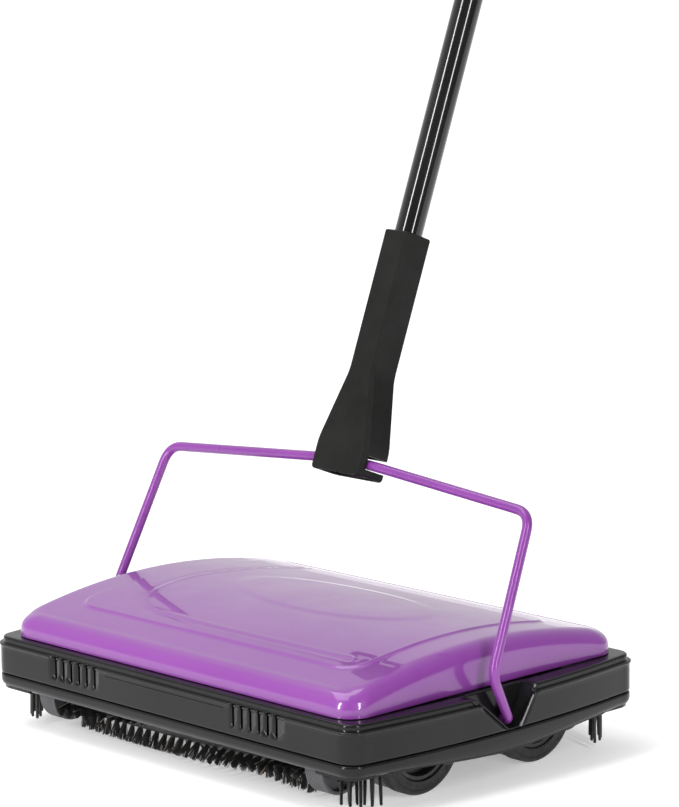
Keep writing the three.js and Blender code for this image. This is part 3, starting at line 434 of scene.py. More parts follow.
class Graph:
    """Short way of building a material's node tree."""

    def __init__(self, material: bpy.types.Material) -> None:
        """Empties the material's tree and puts an output in it."""
        material.use_nodes = True
        self.tree = material.node_tree
        self.tree.nodes.clear()
        self.output = self.node("ShaderNodeOutputMaterial")

    def node(self, kind: str, values: dict | None = None, **settings: object) -> bpy.types.Node:
        """Adds a node, sets its properties, and sets or links its inputs.

        Args:
            kind: node class.
            values: input name or number to a constant, or to a socket that is linked to it.
            settings: properties of the node.

        Returns:
            The node.
        """
        made = self.tree.nodes.new(kind)
        for key, value in settings.items():
            setattr(made, key, value)
        for key, value in (values or {}).items():
            if isinstance(value, bpy.types.NodeSocket):
                self.tree.links.new(value, made.inputs[key])
            else:
                made.inputs[key].default_value = value
        return made

    def math(self, operation: str, *values: object) -> bpy.types.NodeSocket:
        """A math node's result."""
        return self.node("ShaderNodeMath", dict(enumerate(values)), operation=operation).outputs[0]

    def ramp(
        self, value: bpy.types.NodeSocket, low: float, high: float, a: float, b: float
    ) -> bpy.types.NodeSocket:
        """Maps value from low..high to a..b, held at both ends."""
        inputs = {0: value, 1: low, 2: high, 3: a, 4: b}
        return self.node("ShaderNodeMapRange", inputs).outputs[0]

    def mix(self, factor: object, a: object, b: object) -> bpy.types.NodeSocket:
        """Colour mix of two colours, each a constant or a socket.

        Args:
            factor: share of the second.
            a: first colour.
            b: second colour.

        Returns:
            The mixed colour's socket.
        """
        made = self.node("ShaderNodeMix", data_type="RGBA")
        for socket, value in ((made.inputs[0], factor), (made.inputs[6], a), (made.inputs[7], b)):
            if isinstance(value, bpy.types.NodeSocket):
                self.tree.links.new(value, socket)
            else:
                socket.default_value = value
        return made.outputs[2]

    def noise(self, where: object, scale: float, detail: float = 3.0) -> bpy.types.NodeSocket:
        """Noise of a given scale per metre."""
        inputs = {"Vector": where, "Scale": scale, "Detail": detail, "Roughness": 0.55}
        return self.node("ShaderNodeTexNoise", inputs).outputs[0]


def build_material(name: str, finish: Finish) -> bpy.types.Material:
    """Makes a finish's material: patchy colour, uneven roughness, fine grain, coat and dust.

    The colour drifts between two tones with a broad noise. A second, streaked noise moves the
    roughness between its two ends, as rubbing does. The grain is a bump of a fine noise. Dust lies
    where the surface faces up, broken by noise.

    Args:
        name: material name.
        finish: its numbers.

    Returns:
        The material.
    """
    material = bpy.data.materials.new(name)
    g = Graph(material)
    place = g.node("ShaderNodeTexCoord").outputs["Object"]
    stretched = g.node(
        "ShaderNodeVectorMath", {0: place, 1: finish.stretch}, operation="MULTIPLY"
    ).outputs[0]
    patches = g.noise(place, finish.patch, 4.0)
    tone = g.ramp(patches, 0.35, 0.65, 0.0, 1.0)
    colour = g.mix(tone, (*finish.colour, 1.0), (*finish.other, 1.0))
    fine = g.noise(stretched, finish.grain, 2.0)
    rubbed = g.noise(stretched, finish.patch * 5.0, 5.0)
    rough = g.ramp(rubbed, 0.35, 0.65, *finish.rough)
    if finish.dust:
        normal = g.node("ShaderNodeNewGeometry").outputs["Normal"]
        up = g.node("ShaderNodeSeparateXYZ", {0: normal}).outputs[2]
        facing = g.ramp(up, 0.2, 0.95, 0.0, 1.0)
        lying = g.math("MULTIPLY", facing, g.ramp(rubbed, 0.4, 0.7, 0.0, finish.dust))
        colour = g.mix(lying, colour, DUST)
    bump = g.node("ShaderNodeBump", {"Strength": 1.0, "Distance": finish.bump * MM, "Height": fine})
    shader = g.node(
        "ShaderNodeBsdfPrincipled",
        {
            "Base Color": colour,
            "Roughness": rough,
            "Metallic": finish.metal,
            "Specular IOR Level": finish.shine,
            "Coat Weight": finish.coat[0],
            "Coat Roughness": finish.coat[1],
            "Normal": bump.outputs[0],
        },
    )
    g.tree.links.new(shader.outputs[0], g.output.inputs[0])
    return material


MATERIALS = {name: build_material(name, finish) for name, finish in FINISHES.items()}


def finish_cad(nodes: list, name: str) -> None:
    """Gives CAD nodes a finish through their material slots.

    Args:
        nodes: node names.
        name: the finish's name.
    """
    for node in nodes:
        obj = CAD_NODES[node]
        if not obj.material_slots:
            obj.data.materials.append(MATERIALS[name])
        for place in obj.material_slots:
            place.material = MATERIALS[name]


# ---- the head's plan --------------------------------------------------------------------


@dataclass(frozen=True)
class HeadPlan:
    """Plan of the head: straight long walls, bowed short sides and round corners."""

    half_w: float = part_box("lower_tray")[1][0] / MM - 6.8
    half_d: float = HEAD_HALF_D
    bow: float = 6.8
    corner: float = 11.0

    def side_x(self, y: np.ndarray, inset: float) -> np.ndarray:
        """X of the short side at y: the half width less the inset, plus a parabola of the bow."""
        reach = self.half_d - self.corner
        return self.half_w - inset + self.bow * (1 - np.clip(y / reach, -1, 1) ** 2)

    def ring(self, inset: float, z: float, long_x: np.ndarray, side_y: np.ndarray) -> np.ndarray:
        """One closed ring, anticlockwise from above: wall, corner, side, corner and so on.

        Args:
            inset: how far inside the outline.
            z: level.
            long_x: rising X of the points along a long wall.
            side_y: rising Y of the points along the right side.

        Returns:
            Rows of x, y, z.
        """
        w, d = self.half_w - inset, self.half_d - inset
        r = max(self.corner - inset, 0.6)
        turn = np.linspace(0, np.pi / 2, 11)[1:-1]
        arcs = [turn - np.pi / 2, turn, turn + np.pi / 2, turn + np.pi]
        centres = [(w - r, r - d), (w - r, d - r), (r - w, d - r), (r - w, r - d)]
        bends = [
            np.stack([cx + r * np.cos(a), cy + r * np.sin(a)], -1) for a, (cx, cy) in zip(arcs, centres)
        ]
        x = np.clip(long_x, r - w, w - r)
        y = np.clip(side_y, r - d, d - r)
        front = np.stack([x, 0 * x - d], -1)
        right = np.stack([self.side_x(y, inset), y], -1)
        rear = np.stack([x[::-1], 0 * x + d], -1)
        left = np.stack([-self.side_x(y, inset), y], -1)[::-1]
        plan = np.vstack([front, bends[0], right, bends[1], rear, bends[2], left, bends[3]])
        return np.column_stack([plan, np.full(len(plan), z)])

    def tucked(self, points: np.ndarray, within: float, by: float) -> np.ndarray:
        """Moves the points near the outline inwards, so that a finer skin can lie over them.

        The inset of a point is the distance inside a rounded rectangle once the bow is taken off X.

        Args:
            points: head-centred millimetres.
            within: points with a smaller inset are moved.
            by: how far.

        Returns:
            The moved points.
        """
        reach = self.half_d - self.corner
        bow = self.bow * (1 - np.clip(points[:, 1] / reach, -1, 1) ** 2)
        ax = np.abs(points[:, 0]) - bow - (self.half_w - self.corner)
        ay = np.abs(points[:, 1]) - (self.half_d - self.corner)
        outside = np.hypot(np.maximum(ax, 0), np.maximum(ay, 0))
        inset = self.corner - outside - np.minimum(np.maximum(ax, ay), 0)
        scale = np.maximum(outside, 1e-6)
        nx = np.where(outside > 0, np.maximum(ax, 0) / scale, ax > ay) * np.sign(points[:, 0])
        ny = np.where(outside > 0, np.maximum(ay, 0) / scale, ay >= ax) * np.sign(points[:, 1])
        near = inset < within
        moved = points.copy()
        moved[near, 0] -= by * nx[near]
        moved[near, 1] -= by * ny[near]
        return moved


PLAN = HeadPlan()


# ---- sub-assemblies ---------------------------------------------------------------------


@dataclass
class Cover:
    """Painted sheet cover: crowned, with round shoulders, a skirt and a raised panel."""

    half_w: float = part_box("top_cover")[1][0] / MM
    half_d: float = (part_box("top_cover")[1][1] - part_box("top_cover")[0][1]) / MM / 2
    peak: float = 73.0
    eave: float = 62.5
    shoulder: float = 9.0
    plan_r: float = 14.0
    panel: tuple = (108.0, 74.0, 14.0)
    rise: float = 0.9
    wall: float = 0.9

    def plan_ring(self, w: float, d: float, r: float) -> np.ndarray:
        """Rounded rectangle, anticlockwise, with the same number of points for every size.

        Args:
            w: half width.
            d: half depth.
            r: corner radius.

        Returns:
            Rows of x, y.
        """
        t = np.linspace(0, np.pi / 2, 15)
        long_t, short_t = np.linspace(-1, 1, 122)[1:-1], np.linspace(-1, 1, 90)[1:-1]
        flat = np.column_stack([long_t * (w - r), 0 * long_t - d])
        side = np.column_stack([0 * short_t + w, short_t * (d - r)])
        bends = [
            np.column_stack([sx * (w - r) + r * np.cos(t + a), sy * (d - r) + r * np.sin(t + a)])
            for sx, sy, a in ((1, -1, -np.pi / 2), (1, 1, 0), (-1, 1, np.pi / 2), (-1, -1, np.pi))
        ]
        return np.vstack([flat, bends[0], side, bends[1], -flat, bends[2], -side, bends[3]])

    def height(self, y: np.ndarray, inset: np.ndarray) -> np.ndarray:
        """Crown parabola across Y, less the quarter circle of the shoulder near the edge.

        Args:
            y: distance from the ridge.
            inset: distance inside the cover's edge.

        Returns:
            One level per point.
        """
        reach = self.half_d - self.shoulder
        crown = self.peak - (self.peak - self.eave) * np.minimum(np.abs(y) / reach, 1) ** 2
        rest = self.shoulder - np.clip(inset, 0, self.shoulder)
        return crown - (self.shoulder - np.sqrt(self.shoulder**2 - rest**2))

    def relief(self, x: np.ndarray, y: np.ndarray) -> np.ndarray:
        """Panel's raised field, the pressed crease inside its front edge and a soft oval step.

        The crease is a Gaussian dip beside a Gaussian ridge, by distance from its path. The oval is
        a smooth step over an ellipse.

        Args:
            x: plan X of the points.
            y: plan Y of the points.

        Returns:
            Height to add, in millimetres.
        """
        w, d, r = self.panel
        qx, qy = np.abs(x) - (w - r), np.abs(y) - (d - r)
        inside = r - np.hypot(np.maximum(qx, 0), np.maximum(qy, 0)) - np.minimum(np.maximum(qx, qy), 0)
        field_up = smooth(inside / 1.4)
        crease = path_distance(np.column_stack([x, y]), CREASE)
        groove = np.exp(-((crease - 1.6) / 0.9) ** 2) - 0.8 * np.exp(-((crease + 1.4) / 1.0) ** 2)
        oval = np.hypot((x - 6.0) / 74.0, (y - 12.0) / 34.0)
        step = smooth((1.0 - oval) / 0.16)
        lip = 0.35 * np.exp(-((inside - 0.2) / 0.9) ** 2)
        return self.rise * field_up + lip + 0.35 * groove * (inside > 0) + 0.4 * step

    def build(self) -> bpy.types.Object:
        """Nested plan rings from the lower edge, up the skirt, over the shoulder and to the ridge.

        Returns:
            The cover's object.
        """
        foot = Z_RING + GAP
        shoulder = self.shoulder * (1 - np.cos(np.linspace(0, np.pi / 2, 12)))
        rings = [(self.half_w - s, self.half_d - s, self.plan_r - 0.25 * s, s) for s in shoulder]
        w, d, r = self.panel
        edge = rings[-1]
        for t in np.linspace(0, 1, 9)[1:]:
            size = [a + (b - a) * t for a, b in zip(edge[:3], (w + 2.0, d + 2.0, r + 2.0))]
            rings.append((*size, self.shoulder + 1))
        insets = np.concatenate([np.linspace(-1.2, 2.4, 10), np.linspace(3.4, d, 52)])
        for e in insets:
            rings.append((w - e, d - e, max(r - e, min(0.8, d - e)), self.shoulder + 1))
        rows = []
        first = self.plan_ring(*rings[0][:3])
        top = self.height(first[:, 1], np.zeros(len(first)))
        for t in (0.0, 0.04, 0.3, 0.6):
            sink = -0.35 if t == 0.0 else 0.0
            pulled = first * (1 + sink / self.half_w)
            rows.append(np.column_stack([pulled, foot + (top - foot) * t]))
        for ring_w, ring_d, ring_r, inset in rings:
            plan = self.plan_ring(ring_w, ring_d, ring_r)
            z = self.height(plan[:, 1], np.full(len(plan), inset))
            z = z + self.relief(plan[:, 0], plan[:, 1])
            rows.append(np.column_stack([plan, z]))
        skin = Surface(np.vstack(rows), grid_faces(len(rows), len(first), True))
        cover = make_piece(
            "cover_shell", skin, "head", MATERIALS["cover_paint"], ("top_cover",), 60.0
        )
        thicken(cover, self.wall)
        return cover


def smooth(t: np.ndarray) -> np.ndarray:
    """Smooth step: 0 below 0, 1 above 1, 3t² - 2t³ between."""
    t = np.clip(t, 0, 1)
    return t * t * (3 - 2 * t)


def path_distance(points: np.ndarray, path: np.ndarray) -> np.ndarray:
    """Signed distance from plan points to the nearest leg of a path, positive on its left.

    Args:
        points: rows of x, y.
        path: rows of x, y.

    Returns:
        One distance per point.
    """
    start, leg = path[:-1], path[1:] - path[:-1]
    gap = points[:, None] - start[None]
    along = np.clip((gap * leg).sum(-1) / (leg**2).sum(-1), 0, 1)
    off = gap - along[..., None] * leg
    length = np.linalg.norm(off, axis=-1)
    side = np.sign(leg[:, 0] * gap[..., 1] - leg[:, 1] * gap[..., 0])
    nearest = length.argmin(1)
    pick = np.arange(len(points))
    return length[pick, nearest] * side[pick, nearest]


def eased_path(corners: list, per_leg: int = 8) -> np.ndarray:
    """Catmull-Rom curve through given plan points.

    Args:
        corners: x, y pairs.
        per_leg: steps between two of them.

    Returns:
        Rows of x, y.
    """
    p = np.array(corners, float)
    p = np.vstack([2 * p[0] - p[1], p, 2 * p[-1] - p[-2]])
    t = np.linspace(0, 1, per_leg, endpoint=False)[None, :, None]
    a, b, c, d = p[:-3, None], p[1:-2, None], p[2:-1, None], p[3:, None]
    curve = 0.5 * (2 * b + (c - a) * t + (2 * a - 5 * b + 4 * c - d) * t**2 + (3 * b - a - 3 * c + d) * t**3)
    return np.vstack([curve.reshape(-1, 2), p[-2:-1]])


CREASE = eased_path([(-76, 99), (-78, 70), (-84, 30), (-88, -20), (-72, -56), (-30, -63), (95, -63)])


@dataclass
class Housing:
    """Upper half of the head: wall, flared rim, stepped ring, slots and the V recess in each side."""

    slot_w: float = 1.8
    slot_pitch: float = 6.4
    slot_count: int = 6
    slot_middle: float = 70.0
    slot_foot: float = 34.6
    v_foot: tuple = (PIVOT_Y - 4.4, PIVOT_Y + 2.2)
    v_top: tuple = (PIVOT_Y - 29.2, PIVOT_Y + 16.3)
    recess_x: float = 130.0
    rim_top: float = 46.08
    wall: float = 0.7
    tuck_within: float = 2.35
    tuck: float = 0.95

    def flank(self, z: np.ndarray | float) -> tuple:
        """Y of the recess's two flanks at a level, straight from its floor to the ring.

        Args:
            z: level or levels.

        Returns:
            Y of the front flank and of the rear one.
        """
        t = np.clip((z - Z_SEAM - 0.6) / (Z_RING + 1 - Z_SEAM - 0.6), 0, 1)
        return tuple(a + (b - a) * t for a, b in zip(self.v_foot, self.v_top))

    def slot_centres(self) -> np.ndarray:
        """X of every slot, both groups."""
        one = self.slot_middle + (np.arange(self.slot_count) - (self.slot_count - 1) / 2) * self.slot_pitch
        return np.concatenate([-one[::-1], one])

    def build(self) -> None:
        """Sweeps the wall profile round the plan, leaves out the slots and recesses, adds the beads."""
        reach = PLAN.half_d - PLAN.corner
        half = self.slot_w / 2
        centres = self.slot_centres()
        span = PLAN.half_w - PLAN.corner
        slot_edges = np.r_[centres - half, centres + half]
        long_x = np.unique(np.round(np.r_[np.linspace(-span, span, 37), slot_edges], 4))
        profile = [
            (0.9, 29.3), (0.35, 29.6), (0.05, 30.1), (0, 30.8), (0, 32.5), (0, 34.6), (0, 38), (0, 42),
            (0, 44.2), (-0.15, 44.5), (-0.6, 44.9), (-0.7, 45.3), (-0.6, 45.75), (-0.25, 46.0),
            (0.6, 46.05), (1.3, 46.1), (1.5, 46.4), (1.5, 47.2), (1.5, 48.4), (1.7, 49.0), (2.2, 49.4),
            (3, 49.5), (5, 49.5), (7.5, 49.5), (10, 49.5), (15.5, 49.5),
        ]
        rows = []
        for inset, z in profile:
            low, high = self.flank(z)
            side_y = np.r_[
                np.linspace(-reach, low, 16),
                np.linspace(low, high, 6)[1:],
                np.linspace(high, reach, 16)[1:],
            ]
            rows.append(PLAN.ring(inset, z, long_x, side_y))
        grid = np.stack(rows)
        after = np.roll(grid, -1, axis=1)
        middle = (grid[:-1] + after[:-1] + grid[1:] + after[1:]) / 4
        inset = np.array([p[0] for p in profile])
        low, high = self.flank(middle[..., 2])
        recess = (np.abs(middle[..., 0]) > self.recess_x) & (middle[..., 1] > low) & (middle[..., 1] < high)
        recess &= (middle[..., 2] > Z_RECESS) & (inset[1:, None] <= 10)
        nearest = np.abs(middle[..., 0:1] - centres).min(-1)
        slots = (np.abs(middle[..., 1]) > reach) & (nearest < half * 0.98)
        slots &= (middle[..., 2] > self.slot_foot) & (middle[..., 2] < self.rim_top)
        keep = ~(recess | slots)
        skin = Surface(grid.reshape(-1, 3), grid_faces(len(rows), grid.shape[1], True, keep))
        shell = make_piece(
            "housing_skin", skin, "head", MATERIALS["housing_plastic"],
            ("upper_housing",), 40.0,
        )
        thicken(shell, self.wall)
        inner = cad_surface("upper_housing")
        inner.points = PLAN.tucked(inner.points, self.tuck_within, self.tuck)
        inner.points[:, 2] -= 0.6 * (inner.points[:, 2] > Z_RING - 0.05)
        make_piece("housing_inner", inner, "head", MATERIALS["housing_plastic"])
        make_piece(
            "housing_beads", self.beads(), "head", MATERIALS["housing_plastic"]
        )

    def beads(self) -> Surface:
        """Raised lips along the recess's flanks, and a thin line under the rim between the slots.

        Returns:
            All beads as one surface.
        """
        z = np.linspace(Z_SEAM + 1.0, Z_RING - 0.4, 26)
        total = None
        for k, radius in ((0, 0.5), (1, 1.15)):
            y = self.flank(z)[k] + (-0.4, 0.9)[k]
            x = PLAN.side_x(y, 0.0) + 0.05 - 1.5 * smooth((z - 45.9) / 0.8)
            bar = sweep(np.column_stack([x, y, z]), radius, 10, np.array([1.0, 0.0, 0.0]))
            total = bar if total is None else total.joined(bar)
        total = total.joined(total.mirrored())
        x = np.linspace(-self.slot_middle + 24, self.slot_middle - 24, 12)
        for end in End:
            path = np.column_stack([x, 0 * x + end.value * (PLAN.half_d + 0.05), 0 * x + 42.6])
            total = total.joined(sweep(path, 0.3, 8, np.array([0.0, 0.0, 1.0])))
        return total


@dataclass
class Tray:
    """Lower half of the head: a rounded band that hangs lower towards the middle of each side."""

    keel: float = 4.0
    opening_w: float = 112.0
    opening_d: float = 103.4
    hang_reach: float = 88.0
    hang_ease: float = 84.0
    wall: float = 0.7
    tuck_within: float = 7.0
    tuck: float = 0.95

    def build(self) -> None:
        """Sweeps the band's profile, then lowers each point by the keel's share at its Y.

        Beside the brush rolls the band doesn't curl in, so that their tufts run clear of it.
        """
        span, reach = PLAN.half_w - PLAN.corner, PLAN.half_d - PLAN.corner
        long_x, side_y = np.linspace(-span, span, 49), np.linspace(-reach, reach, 41)
        profile = [
            (6.8, 22.5, 1.0), (6.8, 21.4, 1.0), (6.0, 21.0, 1.0), (4.2, 21.2, 1.0), (2.5, 21.9, 0.85),
            (1.2, 23.0, 0.6), (0.35, 24.3, 0.35), (0.0, 25.6, 0.12), (0.0, 27.0, 0.0), (0.0, 28.2, 0.0),
            (0.3, 28.75, 0.0), (0.9, 29.0, 0.0),
        ]
        rows = []
        for inset, z, share in profile:
            ring = PLAN.ring(inset, z, long_x, side_y)
            hang = smooth((self.hang_reach - np.abs(ring[:, 1] - 2)) / self.hang_ease)
            ring[:, 2] -= self.keel * share * hang * (np.abs(ring[:, 0]) > span)
            beside = (np.abs(ring[:, 0]) < self.opening_w) & (np.abs(ring[:, 1]) > reach)
            cut = beside & (np.abs(ring[:, 1]) < self.opening_d)
            ring[cut, 1] = np.sign(ring[cut, 1]) * self.opening_d
            ring[cut, 2] = 21.85 + 0.25 * (inset - 2.5) + 0.4 * (z > 22)
            rows.append(ring)
        skin = Surface(np.vstack(rows), grid_faces(len(rows), len(rows[0]), True))
        shell = make_piece(
            "tray_skin", skin, "head", MATERIALS["tray_plastic"], ("lower_tray",), 45.0
        )
        thicken(shell, self.wall)
        inner = cad_surface("lower_tray")
        inner.points = PLAN.tucked(inner.points, self.tuck_within, self.tuck)
        inner.points[:, 2] += 0.7 * (inner.points[:, 2] < 20.9) * (np.abs(inner.points[:, 0]) > 120)
        make_piece("tray_inner", inner, "head", MATERIALS["tray_plastic"])


@dataclass
class Wheel:
    """One wheel: rubber tyre with tread grooves on a dished hub with a friction step."""

    side: Side
    end: End
    radius: float = 28.3
    tyre_out: float = 126.0
    tyre_w: float = 9.5
    bore: float = 21.0
    axle_y: float = 42.4

    def tyre_profile(self) -> list:
        """Section of the tyre, with three tread grooves.

        Returns:
            (radius, distance along the axis), anticlockwise from the bore's inner end.
        """
        r, w, b = self.radius, self.tyre_w, self.bore
        tread = []
        for groove in (2.6, 4.7, 6.8):
            tread += [
                (r, groove - 0.5), (r - 0.5, groove - 0.3), (r - 0.5, groove + 0.3), (r, groove + 0.5)
            ]
        outer = [
            (r - 1.1, w), (r - 2.4, w - 0.1), (r - 2.9, w - 0.5), (b + 2.2, w - 0.5), (b + 1.6, w), (b, w)
        ]
        return [(b, 0), (r - 1.0, 0), (r, 0.9), *tread, (r, w - 1.2), *outer, (b, 0)]

    def hub_profile(self, length: float, step: float) -> list:
        """Hub and friction step, closed along the bore; the outer face is a dish with a boss.

        Args:
            length: whole width of the hub.
            step: width of the friction step.

        Returns:
            (radius, distance along the axis) pairs.
        """
        r, b = self.radius - 0.8, self.bore - 0.3
        inside = [(5.4, 0), (5.4, length - 7.8), (b - 4.0, length - 7.4), (b - 1.3, step - 1.8)]
        outside = [
            (r - 2, step - 1.8), (r - 2, 0), (r, 0), (r, step), (b, step), (b, length), (b - 2.3, length),
            (b - 2.8, length - 5), (14.5, length - 5.2), (13.8, length - 4.4), (12.4, length - 4.4),
            (11.7, length - 5.3), (6, length - 5.6), (5.4, length - 0.6), (2.8, length - 0.6), (2.8, 0),
        ]
        return [(2.8, 0), *inside, *outside]

    def placed(self, surface: Surface, start: float) -> Surface:
        """Lays a surface along X, at this wheel's corner.

        Args:
            surface: a turned piece about +Z.
            start: X of its inner end.

        Returns:
            The placed surface.
        """
        laid = lay_x(surface).moved(start, 0.0, self.radius)
        laid = laid if self.side is Side.RIGHT else laid.mirrored()
        return laid.moved(y=self.end.value * self.axle_y)

    def build(self) -> None:
        """Turns both pieces and adds the ribs between boss and rim."""
        tag = corner_tag(self.end, self.side)
        body = f"wheel_{tag}"
        tyre = lathe(rounded_profile(self.tyre_profile(), 0.45), 96)
        make_piece(
            f"tyre_{tag}_rubber", self.placed(tyre, self.tyre_out - self.tyre_w), body,
            MATERIALS["tyre_rubber"], (f"tyre_{tag}",), 50.0,
        )
        inner = self.tyre_out - 21.5
        length = self.tyre_out - 1 - inner
        step = length - self.tyre_w + 0.7
        hub = lathe(rounded_profile(self.hub_profile(length, step), 0.4), 72)
        angle = np.radians(72 * np.arange(5) + 18)
        for a in angle:
            rib = block((5.0, -0.8, length - 6.2), (self.bore - 2.9, 0.8, length - 2.4))
            turn = np.array([[np.cos(a), -np.sin(a), 0], [np.sin(a), np.cos(a), 0], [0, 0, 1]])
            hub = hub.joined(Surface(rib.points @ turn.T, rib.faces))
        make_piece(
            f"hub_{tag}_dish", self.placed(hub, inner), body, MATERIALS["hub_plastic"],
            (f"wheel_hub_{tag}",), 35.0,
        )


def strands(base: np.ndarray, tip: np.ndarray, sag: np.ndarray, radius: float, rings: int) -> Surface:
    """Three-sided fibres, each along base + (tip - base) t + sag 4t(1 - t), thinner at the tip.

    Args:
        base: rows of root points.
        tip: rows of tip points.
        sag: rows of the middle's offset.
        radius: fibre radius at the root, in millimetres.
        rings: point rings along a fibre.

    Returns:
        All fibres as one surface, closed at the tips.
    """
    t = np.linspace(0, 1, rings)[None, :, None]
    line = base[:, None] + (tip - base)[:, None] * t + sag[:, None] * 4 * t * (1 - t)
    way = tip - base
    way /= np.linalg.norm(way, axis=1, keepdims=True)
    first = np.cross(way, np.array([0.93, 0.21, 0.3]))
    first /= np.linalg.norm(first, axis=1, keepdims=True)
    second = np.cross(way, first)
    a = np.arange(3) * 2 * np.pi / 3
    ring = np.cos(a)[:, None] * first[:, None] + np.sin(a)[:, None] * second[:, None]
    size = radius * (1 - 0.35 * t[..., None])
    points = line[:, :, None] + size * ring[:, None]
    count = len(base)
    n, r, k = np.meshgrid(np.arange(count), np.arange(rings - 1), np.arange(3), indexing="ij")
    at = (n * rings + r) * 3
    quads = np.stack([at + k, at + (k + 1) % 3, at + 3 + (k + 1) % 3, at + 3 + k], -1).reshape(-1, 4)
    last = (np.arange(count)[:, None] * rings + rings - 1) * 3 + np.arange(3)[None]
    first_ring = np.arange(count)[:, None] * rings * 3 + np.array([2, 1, 0])[None]
    faces = [tuple(q) for q in quads.tolist()] + [tuple(q) for q in np.vstack([last, first_ring]).tolist()]
    return Surface(points.reshape(-1, 3), faces)


@dataclass
class BrushRoll:
    """One brush roll: a sleeve with twisted rows of fan-shaped tufts, and a drum at each end."""

    end: End
    axis_y: float = 84.0
    axis_z: float = 20.0
    tip_r: float = 17.5
    root_r: float = 7.4
    half: float = 94.6
    rows: int = 5
    tufts: int = 27
    fibres: int = 44
    twist: float = 0.45
    drum_in: float = 97.8
    drum_w: float = 12.2
    drum_r: float = 14.6
    tip_x: float = 96.0
    sleeve_r: tuple = (7.0, 8.3)
    sleeve_half: float = 96.5
    pale_share: float = 0.02

    def build(self) -> None:
        """Scatters fibres in each tuft: a tight root that fans out towards the tips."""
        end = self.end.name.lower()
        body = f"{end}_roll"
        rng = np.random.default_rng(7 if self.end is End.FRONT else 8)
        row, tuft = np.meshgrid(np.arange(self.rows), np.arange(self.tufts), indexing="ij")
        pitch = 2 * self.half / self.tufts
        x = -self.half + pitch * (tuft + np.where(row % 2, 0.75, 0.25))
        turn = 2 * np.pi * row / self.rows - self.end.value * np.radians(self.twist) * x
        x, turn = x.reshape(-1, 1), turn.reshape(-1, 1)
        count = (len(x), self.fibres)
        spread = rng.uniform(-1, 1, count)
        fan = rng.uniform(-1, 1, count)
        root_x = x + 0.8 * spread
        tip_x = x + np.clip(1.5 * spread + rng.normal(0, 0.15, count), -2.0, 2.0)
        tip_x = np.clip(tip_x, -self.tip_x, self.tip_x)
        tip_r = self.tip_r - np.abs(rng.normal(0, 0.35, count)) - 0.5 * spread**2
        base = self.polar(root_x, self.root_r, turn + 0.09 * fan)
        tip = self.polar(tip_x, tip_r, turn + 0.2 * fan)
        sag = rng.normal(0, 0.12, base.shape)
        pale = rng.uniform(0, 1, len(base)) < self.pale_share
        black = strands(base[~pale], tip[~pale], sag[~pale], 0.25, 3)
        (bore, outer), end_x = self.sleeve_r, self.sleeve_half
        section = [(bore, -end_x), (outer, -end_x), (outer, end_x), (bore, end_x), (bore, -end_x)]
        sleeve = lathe(rounded_profile(section, 0.4), 48)
        make_piece(
            f"{end}_tufts", self.placed(black.joined(lay_x(sleeve))), body,
            MATERIALS["bristle"], (f"roll_bristles_{end}",), 30.0, False,
        )
        light = strands(base[pale], tip[pale], sag[pale], 0.22, 3)
        make_piece(f"{end}_pale_fibres", self.placed(light), body, MATERIALS["bristle_pale"])
        for side in Side:
            drum = lay_x(lathe(rounded_profile(self.drum_profile(), 0.35), 64)).moved(x=self.drum_in)
            drum = drum if side is Side.RIGHT else drum.mirrored()
            tag = corner_tag(self.end, side)
            make_piece(
                f"drum_{tag}", self.placed(drum), body, MATERIALS["drum_plastic"],
                (f"roll_drum_{tag}",), 35.0,
            )

    def polar(self, x: np.ndarray, r: np.ndarray | float, turn: np.ndarray) -> np.ndarray:
        """Points at (x, r sin turn, r cos turn), flattened."""
        return np.stack([x, r * np.sin(turn) + 0 * x, r * np.cos(turn) + 0 * x], -1).reshape(-1, 3)

    def placed(self, surface: Surface) -> Surface:
        """Moves a surface made about the X axis to this roll's axis."""
        return surface.moved(0.0, self.end.value * self.axis_y, self.axis_z)

    def drum_profile(self) -> list:
        """Drum with gripping grooves round it and a recess in its outer face.

        Returns:
            (radius, distance along the axis) pairs.
        """
        r, w = self.drum_r, self.drum_w
        grooves = []
        for z in np.arange(1.8, w - 1.0, 1.3):
            grooves += [(r, z - 0.3), (r - 0.35, z - 0.15), (r - 0.35, z + 0.15), (r, z + 0.3)]
        face = [(r - 0.6, w), (12.4, w), (12.4, w - 3), (4.4, w - 3), (4.4, w), (2.4, w), (2.4, 0)]
        return [(2.4, 0), (r - 0.6, 0), (r, 0.6), *grooves, (r, w - 0.6), *face]


